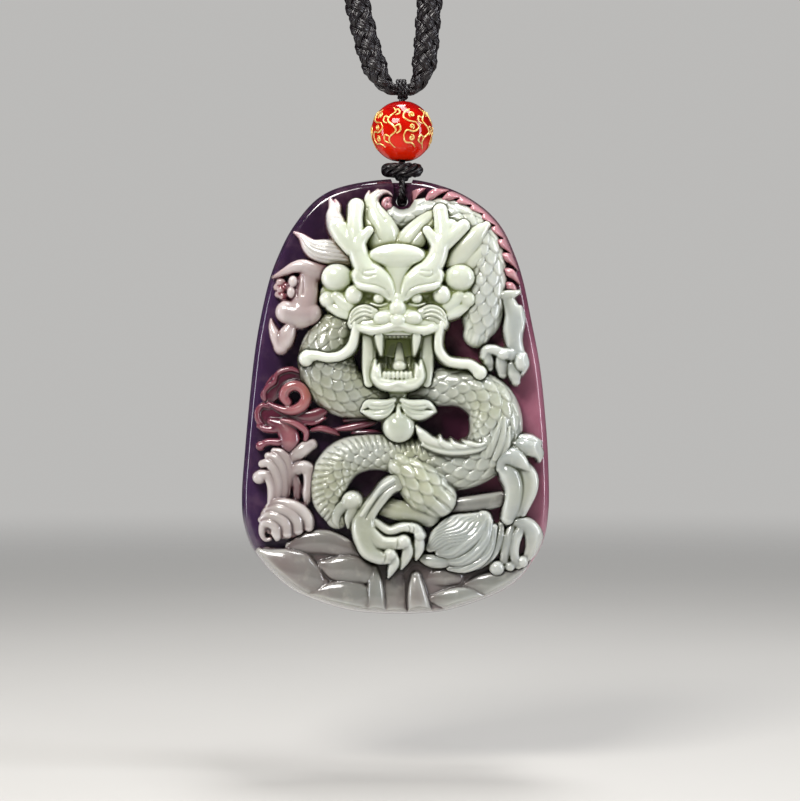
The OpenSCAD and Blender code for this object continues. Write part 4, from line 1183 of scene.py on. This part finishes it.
def carved_pieces(edge_line):
    """The pieces of the carving, each kept where it shows or lies just under what does."""
    inset = inside_edge(edge_line)
    slab = np.where(inset > 0, slab_height(inset), BARE)
    room = np.minimum(inset, beside_groove()) - BARE_STRIP
    limit = slab - UNDER - 1 + EDGE_RISE * np.sqrt(np.maximum(room, 0))
    reliefs = {}
    for name, (parts, _) in CARVED.items():
        highest = np.maximum.reduce([carve().heights for carve in parts])
        reliefs[name] = np.minimum(softened(highest, WEAR), limit)
    top = np.maximum.reduce([slab, *reliefs.values()])
    # Stored on the points for the finishes: relief, for painted shade in lines, painted highlights
    # on edges and rougher lines, and a broad mask of painted shade where a cell lies low among
    # higher carving
    relief = np.clip(standing_out(top, 5) / 7 + standing_out(top, 1.4) / 1.4, -1, 1)
    shelter = np.clip(-standing_out(top, 8) / 14, 0, 1)
    bound = np.where(room > 0, top - UNDER, FAR)
    finishes = {name: jade(name) for name in JADES}
    for name, (_, finish) in CARVED.items():
        carved_piece(name, reliefs[name], bound, finishes[finish], relief=relief, shelter=shelter)


# ---------------------------------------------------------------- the slab

# How far the thread's cutters reach from the hole's middle, beyond the stone
CUTTER_REACH = 30.0


def heading(line, closed=False):
    """The direction of a line at each of its points."""
    if closed:
        way = np.roll(line, -1, axis=0) - np.roll(line, 1, axis=0)
    else:
        way = np.gradient(line, axis=0)
    return way / np.linalg.norm(way, axis=1)[:, None]


def ring_faces(rings, count, closed=False):
    """Faces between rings of count points each; closed joins the last ring to the first."""
    i, j = np.meshgrid(np.arange(rings if closed else rings - 1), np.arange(count), indexing="ij")
    i2, j2 = (i + 1) % rings, (j + 1) % count
    corners = [i * count + j, i * count + j2, i2 * count + j2, i2 * count + j]
    return np.stack(corners, -1).reshape(-1, 4)


def slab_rings():
    """Rings of the slab, from the middle of its front round its edge to the back: how far each
    lies inside the edge, and its depth."""
    insets = RIM_W * np.array([2.0, 1.3, 1.0, 0.75, 0.55, 0.38, 0.24, 0.12, 0.04, 0.0])
    front = [(inset, FACE_Y - slab_height(inset / STEP_X) * STEP_X) for inset in insets]
    behind = [(BACK_EDGE * (1 - math.cos(a)), BACK_Y - BACK_EDGE * (1 - math.sin(a)))
              for a in np.radians([0, 22, 45, 67, 90])]
    return [*front, *behind, (BACK_EDGE * 2, BACK_Y)]


def slab_piece(edge_line):
    """The slab: rings round its edge, closed in front and behind, and cut for the thread."""
    edge, rings = edge_line[::4] * (STEP_X, STEP_Z), slab_rings()
    n, way = len(edge), heading(edge, closed=True)
    points = np.vstack([
        np.column_stack([edge[:, 0] - inset * way[:, 1] + AXIS_X, np.full(n, y),
                         edge[:, 1] + inset * way[:, 0] + FOOT_Z])
        for inset, y in rings
    ])
    skin = ring_faces(len(rings), n)[:, [0, 3, 2, 1]]
    ends = [[np.arange(n)], [(len(rings) - 1) * n + np.arange(n)[::-1]]]
    slab = new_object("jade_slab", points, [skin, *ends], jade_slab_finish())
    cut_for_thread(slab)
    fasten(slab, "plaque", "jade", "jade_plaque")


def prism(name, outline, axis):
    """A cutter: an outline as [across, up] from the hole's middle, drawn out along X or Y."""
    flat = np.array(outline, float)
    n = len(flat)
    points = []
    for side in (-CUTTER_REACH, CUTTER_REACH):
        columns = [flat[:, 0], np.full(n, side)]
        columns = columns[::-1] if axis == "X" else columns
        points.append(np.column_stack([*columns, flat[:, 1] + HOLE_Z]))
    faces = [ring_faces(2, n), [np.arange(n)[::-1]], [np.arange(n) + n]]
    cutter = new_object(name, np.vstack(points), faces, None, smooth=False)
    with edited(cutter) as bm:
        bmesh.ops.recalc_face_normals(bm, faces=bm.faces)
    return cutter


def cut(obj, cutter):
    """Cuts the cutter's shape out of an object, and does away with the cutter."""
    modifier = obj.modifiers.new("cut", "BOOLEAN")
    modifier.operation, modifier.solver, modifier.object = "DIFFERENCE", "EXACT", cutter
    shaped = obj.evaluated_get(bpy.context.evaluated_depsgraph_get())
    mesh = bpy.data.meshes.new_from_object(shaped)
    obj.modifiers.clear()
    obj.data = mesh
    bpy.data.objects.remove(cutter)


def keep_edges_crisp(obj):
    """Marks the edges of a smooth-shaded mesh where its faces meet at more than 35 degrees."""
    with edited(obj) as bm:
        for edge in bm.edges:
            edge.smooth = edge.calc_face_angle(0) < math.radians(35)


def cut_for_thread(slab):
    """The drilled hole, and the groove above it, which flares at the top and leaves a bridge of
    stone in the slab's middle, between the thread's two strands."""
    bend = np.radians(np.arange(180, 361, 15))
    lower = [(GROOVE_HALF * math.cos(a), GROOVE_HALF * math.sin(a)) for a in bend]
    right = [(GROOVE_HALF, HOLE_DROP - FLARE_H), ((1 + GROOVE_FLARE) * GROOVE_HALF, HOLE_DROP),
             (2 * GROOVE_HALF, HOLE_DROP + 1.2)]
    left = [(-x, z) for x, z in reversed(right)]
    groove = prism("groove_cutter", [*lower, *right, *left], "Y")
    # Back half of the bridge's section, up to its low crest, as shares of its width and height
    behind = [(0.5, 0.4), (0.38, 0.62), (0.2, 0.73), (0.15, 0.79), (0.08, 0.85)]
    behind = [(BRIDGE_T / 2, -CUTTER_REACH), *[(y * BRIDGE_T, z * HOLE_DROP) for y, z in behind]]
    cut(groove, prism("bridge_cutter", [*behind, *[(-y, z) for y, z in reversed(behind)]], "X"))
    cut(slab, groove)
    turn = np.linspace(0, 2 * math.pi, 48, endpoint=False)
    bore = np.column_stack([np.cos(turn), np.sin(turn)]) * HOLE_D / 2
    cut(slab, prism("bore_cutter", bore, "Y"))
    keep_edges_crisp(slab)


# ---------------------------------------------------------------- cord, thread, knot and bead

# A direction along which no thread runs, to measure the way round a thread from
ASIDE = (0.31, 0.87, 0.38)


def run_along(line):
    """How far along a line each of its points lies."""
    return np.concatenate([[0], np.cumsum(np.linalg.norm(np.diff(line, axis=0), axis=1))])


def evenly(line, step, closed=False):
    """The line again with points that are step apart, as near as its length allows, how far along
    it they lie, and its length."""
    p = np.vstack([line, line[:1]]) if closed else np.asarray(line)
    run = run_along(p)
    count = max(2, round(run[-1] / step))
    s = np.linspace(0, run[-1], count + 1)
    s = s[:-1] if closed else s
    return np.column_stack([np.interp(s, run, p[:, k]) for k in range(p.shape[1])]), s, run[-1]


def tube(line, radius, sides=8, closed=False, flat=1.0, up=None):
    """A tube along a line, as points, faces, and how far along and around it each point lies. flat
    is its height over its width, measured along up."""
    n, way = len(line), heading(line, closed)
    across = np.cross(way, np.tile(ASIDE, (n, 1)) if up is None else up)
    across /= np.linalg.norm(across, axis=1)[:, None]
    rise = np.cross(across, way)
    a = np.linspace(0, 2 * math.pi, sides, endpoint=False)
    wide = np.broadcast_to(np.asarray(radius, float), n)
    high = wide * flat
    points = (line[:, None] + across[:, None] * (wide[:, None] * np.cos(a))[..., None]
              + rise[:, None] * (high[:, None] * np.sin(a))[..., None]).reshape(-1, 3)
    faces = [ring_faces(n, sides, closed)]
    if not closed:
        faces += [[np.arange(sides)[::-1]], [(n - 1) * sides + np.arange(sides)]]
    return points, faces, np.repeat(run_along(line), sides), np.tile(np.abs(a / math.pi - 1), n)


def joined(name, tubes, material):
    """One object from several tubes."""
    points, faces, along, around = zip(*tubes)
    starts = np.cumsum([0, *map(len, points[:-1])])
    faces = [np.asarray(f) + start for start, of_tube in zip(starts, faces) for f in of_tube]
    return new_object(name, np.vstack(points), faces, material, along=np.concatenate(along),
                      around=np.concatenate(around))


def braided_cord():
    """The neck cord: eight strands, four each way round, each over one and under the next."""
    strands, lay, step, swell_l = 4, 13.0, 0.4, 5.0
    strand_w, strand_t, middle, weave = 0.95, 0.5, 1.38, 0.34
    line = smooth_line([[x, 0, z] for x, z in CORD_ROUTE], 24, closed=True)
    line, s, length = evenly(line, step, closed=True)
    way = heading(line, closed=True)
    side = np.column_stack([-way[:, 2], np.zeros(len(way)), way[:, 0]])
    depth = np.array([0.0, 1.0, 0.0])
    # The cord is pinched by its lashing, and swells to its full width beside it
    reach = np.clip((np.linalg.norm(line - line[0], axis=1) - LASH_L / 2) / swell_l, 0, 1)
    eased = reach * reach * (3 - 2 * reach)
    size = (PINCH_D + (CORD_D - PINCH_D) * eased) / CORD_D
    turn = 2 * math.pi * round(length / lay) * s / length
    tubes = []
    for hand in (1, -1):
        for k in range(strands):
            angle = hand * turn + 2 * math.pi * k / strands
            radius = size * (middle + hand * weave * np.cos(strands * turn))
            out = side * np.cos(angle)[:, None] + depth * np.sin(angle)[:, None]
            path = line + out * radius[:, None]
            tubes.append(tube(path, strand_w * size, 6, True, strand_t / strand_w, out))
    cord = joined("neck_cord_braid", tubes, cord_finish("cord_yarn", "040204", "1e1318", 5, 0.2))
    fasten(cord, "cord_and_bead", "braided_cord", "neck_cord")


def twisted(line, radius, lay, yarns=2):
    """Tubes of a thread of yarns laid round each other along a line."""
    line, s, _ = evenly(smooth_line(line, 10), 0.22)
    way = heading(line)
    a = np.cross(way, ASIDE)
    a /= np.linalg.norm(a, axis=1)[:, None]
    b = np.cross(a, way)
    tubes = []
    for k in range(yarns):
        t = 2 * math.pi * s / lay + 2 * math.pi * k / yarns
        off = (a * np.cos(t)[:, None] + b * np.sin(t)[:, None]) * radius * 0.46
        tubes.append(tube(line + off, radius * 0.54, 7))
    return tubes


def thread_loop():
    """The thread's middle line: down through bead and knot, through the plaque, and up again."""
    # off: its middle from the stone; lift: in the hole; twin: beside its other strand
    floor_y, off = BRIDGE_T / 2, THREAD_D / 2 + GAP
    lift, twin, top = HOLE_D / 2 - off, THREAD_D / 2 + 0.02, BEAD_Z - HOLE_Z
    # Back half of the loop, as [y, height over the hole]
    half = [
        [0, lift], [floor_y - 0.1, lift], [floor_y + 0.7 * off, lift + 0.35 * off],
        [floor_y + off, HOLE_D / 2 + 0.1], [floor_y + off, HOLE_DROP * 0.55],
        [floor_y * 0.95, HOLE_DROP * 0.83], [twin + 0.3, HOLE_DROP + 0.1],
        [twin, KNOT_Z - KNOT_H / 2 - HOLE_Z + 0.3], [twin, top],
        [twin, BEND_Z - LASH_D / 2 + 0.3 - HOLE_Z],
    ]
    return [[0, -y, z + HOLE_Z] for y, z in half[:0:-1]] + [[0, y, z + HOLE_Z] for y, z in half]


def lashing(yarn):
    """Three turns of thread, side by side round the bend of the cord."""
    turn = np.linspace(0, 3 * 2 * math.pi, 110)
    radius, reach = LASH_D / 2 - yarn, LASH_L / 2 - yarn
    return np.column_stack([np.linspace(-reach, reach, len(turn)), -radius * np.cos(turn),
                            BEND_Z + radius * np.sin(turn)])


def binding():
    """Three turns round the thread's two strands, from the plaque's top up to the knot. They are
    narrow enough at their foot for the plaque to swing."""
    turn = np.linspace(0, 3 * 2 * math.pi, 90)
    half_w = np.linspace(0.8, 1.06, len(turn))
    half_d = 2.2 - half_w
    z = np.linspace(HOLE_Z + HOLE_DROP, KNOT_Z - KNOT_H / 2 + 0.2, len(turn))
    return np.column_stack([half_w * np.cos(turn), half_d * np.sin(turn), z])


def filling():
    """Six turns of thread inside the plaque's hole, which they fill."""
    turn = np.linspace(0, 6 * 2 * math.pi, 180)
    radius, reach, lift = 0.6, 1.2, 0.06
    return np.column_stack([radius * np.cos(turn), np.linspace(-reach, reach, len(turn)),
                            HOLE_Z + lift + radius * np.sin(turn)])


def tie_thread():
    """The thin thread: its loop, the lashing on the cord, and its turns over and in the plaque."""
    yarn = LASH_L / 6
    tubes = [*twisted(thread_loop(), THREAD_D / 2, 2.0), *twisted(lashing(yarn), yarn, 1.6),
             tube(binding(), 0.22, 7), tube(filling(), 0.26, 7)]
    thread = joined("thread_lashing_and_loop", tubes,
                    cord_finish("thread_yarn", "040304", "1e161b", 3, 0.24))
    fasten(thread, "cord_and_bead", "thread", "tie_thread")


def lower_knot():
    """The flat knot: one thread that runs five times round the stem and weaves in and out."""
    rounds, weaves = 5, 11
    middle, sway, flat, rise = 2.3, 0.82, 0.72, 0.76
    turn = np.linspace(0, rounds * 2 * math.pi, 360, endpoint=False)
    wave = turn * weaves / rounds
    radius = middle + sway * np.cos(wave)
    line = np.column_stack([radius * np.cos(turn), flat * radius * np.sin(turn),
                            KNOT_Z + rise * np.sin(wave)])
    knot = joined("flat_knot", [tube(line, 0.38, 8, True)],
                  cord_finish("knot_yarn", "040304", "1e161b", 3, 0.22))
    fasten(knot, "cord_and_bead", "thread", "lower_knot")


def agate_bead():
    """The drilled bead, turned from its profile, with a small bevel at each end of the bore."""
    bore, radius, ring = BEAD_BORE / 2, BEAD_D / 2, 64
    bevel_w, bevel_h = 0.25, 0.2
    lip = math.asin((bore + bevel_w) / radius)
    dome = [(radius * math.sin(a), radius * math.cos(a))
            for a in np.linspace(lip, math.pi - lip, 40)]
    wall_h = dome[0][1] - bevel_h
    r, z = np.array([*dome, *[(bore, z) for z in np.linspace(-wall_h, wall_h, 7)]]).T
    a = np.linspace(0, 2 * math.pi, ring, endpoint=False)
    points = np.stack([np.outer(np.cos(a), r), np.outer(np.sin(a), r),
                       np.tile(z + BEAD_Z, (ring, 1))], -1).reshape(-1, 3)
    bead = new_object("agate_bead", points, [ring_faces(ring, len(r), True)], agate_finish())
    fasten(bead, "cord_and_bead", "agate", "bead")


def curl(centre, size, turns, start):
    """A spiral from its middle outwards, as degrees round and up the bead. Turns below 0 run
    clockwise."""
    t = np.linspace(0, 1, 24)
    a = math.radians(start) + turns * 2 * math.pi * t
    r = size * (0.12 + 0.88 * t)
    return np.column_stack([centre[0] + r * np.cos(a), centre[1] + r * np.sin(a)])


# Gold strokes in a column, as degrees round and up from its middle: a waving stem with curls,
# and a column of cloud scrolls, whose curls have a middle, a size, turns and a start in degrees
STEM = [
    [(-2, 44), (6, 34), (-4, 24), (-8, 14), (4, 4), (8, -6), (-4, -16), (-6, -26), (4, -38)],
    [(2, 38), (12, 38), (15, 30), (7, 26)],
    [(-6, 20), (-16, 24), (-18, 14), (-10, 10)],
    [(5, 2), (15, 6), (17, -4), (10, -10)],
    [(-4, -16), (-14, -12), (-17, -22), (-8, -28)],
]
SWAY = [
    [(2, 40), (-10, 34), (-14, 22), (-4, 14), (10, 12)],
    [(10, 12), (16, 2), (6, -6), (-8, -4), (-14, -14)],
    [(-14, -14), (-10, -26), (4, -28), (14, -36)],
]
SWAY_CURLS = [((4, 27), 7, 1.4, 90), ((2, 3), 5, -1.3, 30), ((2, -18), 6, 1.3, 0)]


def gilded_scrolls():
    """Gold scrolls laid into the bead, in five pairs of columns round it."""
    pairs, front, sunk = 5, -90, 0.03
    stem = [smooth_line(line, 8) for line in STEM]
    sway = [*[smooth_line(line, 8) for line in SWAY], *[curl(*row) for row in SWAY_CURLS]]
    strokes = [path + (360 / pairs * pair + aside + front, 0)
               for pair in range(pairs) for aside, column in ((-20, stem), (17, sway))
               for path in column]
    tubes = []
    for path in strokes:
        around, up = np.radians(path).T
        r = BEAD_D / 2 - sunk
        line = np.column_stack([r * np.cos(up) * np.cos(around), r * np.cos(up) * np.sin(around),
                                BEAD_Z + r * np.sin(up)])
        taper = np.sin(np.linspace(0.12, 0.9, len(line)) * math.pi)
        tubes.append(tube(line, 0.07 + 0.1 * taper, 6))
    gold = joined("gilded_scrolls", tubes, gold_finish())
    fasten(gold, "cord_and_bead", "agate", "bead")


# ---------------------------------------------------------------- floor, room and lights

def pale_floor():
    """A wide round floor under the pendant, clear of it."""
    ring, reach, clear = 96, 2400.0, 26
    a = np.linspace(0, 2 * math.pi, ring, endpoint=False)
    points = np.column_stack([reach * np.cos(a), reach * np.sin(a), np.zeros(ring)])
    floor = new_object("pale_floor", points, [[np.arange(ring)]], floor_finish(), smooth=False)
    floor.location.z = (FOOT_Z - clear) * MM
    floor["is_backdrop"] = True


def pale_room(seen, lit):
    """A plain pale room: tint and strength as the camera sees it, and as it lights the pendant."""
    f = Finish("pale_room", "worlds")
    ray = f.node("LightPath", {}, {}, "Is Camera Ray")
    lit, seen = [f.node("Background", {}, {"Color": colour(tint), "Strength": strength})
                 for tint, strength in (lit, seen)]
    mixed = f.node("MixShader", {}, {0: ray, 1: lit, 2: seen})
    f.node("OutputWorld", {}, {"Surface": mixed})
    bpy.context.scene.world = f.made


# A light: its place and the point it faces, its size in metres, power in watts, and tint
Light = namedtuple("Light", "where target width height power tint")
LIGHTS = {
    "key": Light((-0.13, -0.25, -0.08), (0, 0, -0.31), 0.15, 0.11, 1.25, "fffcf8"),
    "right_strip": Light((0.50, -0.16, -0.18), (0, 0, -0.31), 0.08, 0.50, 1.7, "f3f6ff"),
    "left_strip": Light((-0.50, -0.10, -0.36), (0, 0, -0.31), 0.06, 0.40, 1.0, "f3f6ff"),
    "top": Light((0.05, 0.02, 0.20), (0, 0, -0.28), 0.40, 0.16, 3.4, "ffffff"),
}


def studio_lights():
    for name, row in LIGHTS.items():
        data = bpy.data.lights.new(name, "AREA")
        data.shape, data.size, data.size_y = "RECTANGLE", row.width, row.height
        data.energy, data.color = row.power, colour(row.tint)[:3]
        light = bpy.data.objects.new(name, data)
        light.location = row.where
        towards = Vector(row.target) - Vector(row.where)
        light.rotation_euler = towards.to_track_quat("-Z", "Y").to_euler()
        bpy.context.scene.collection.objects.link(light)


# ---------------------------------------------------------------- the whole pendant

edge_line = smooth_line(EDGE, 80, closed=True)
carved_pieces(edge_line)
slab_piece(edge_line)
braided_cord()
tie_thread()
lower_knot()
agate_bead()
gilded_scrolls()
pale_floor()
pale_room(("cfcecc", 0.8), ("b9bec8", 0.07))
studio_lights()

view = bpy.context.scene.view_settings
view.view_transform, view.look = "Standard", "None"

boxes = {"cad": cad_box, "visual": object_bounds()}
boxes = {name: [list(corner) for corner in box] for name, box in boxes.items()}
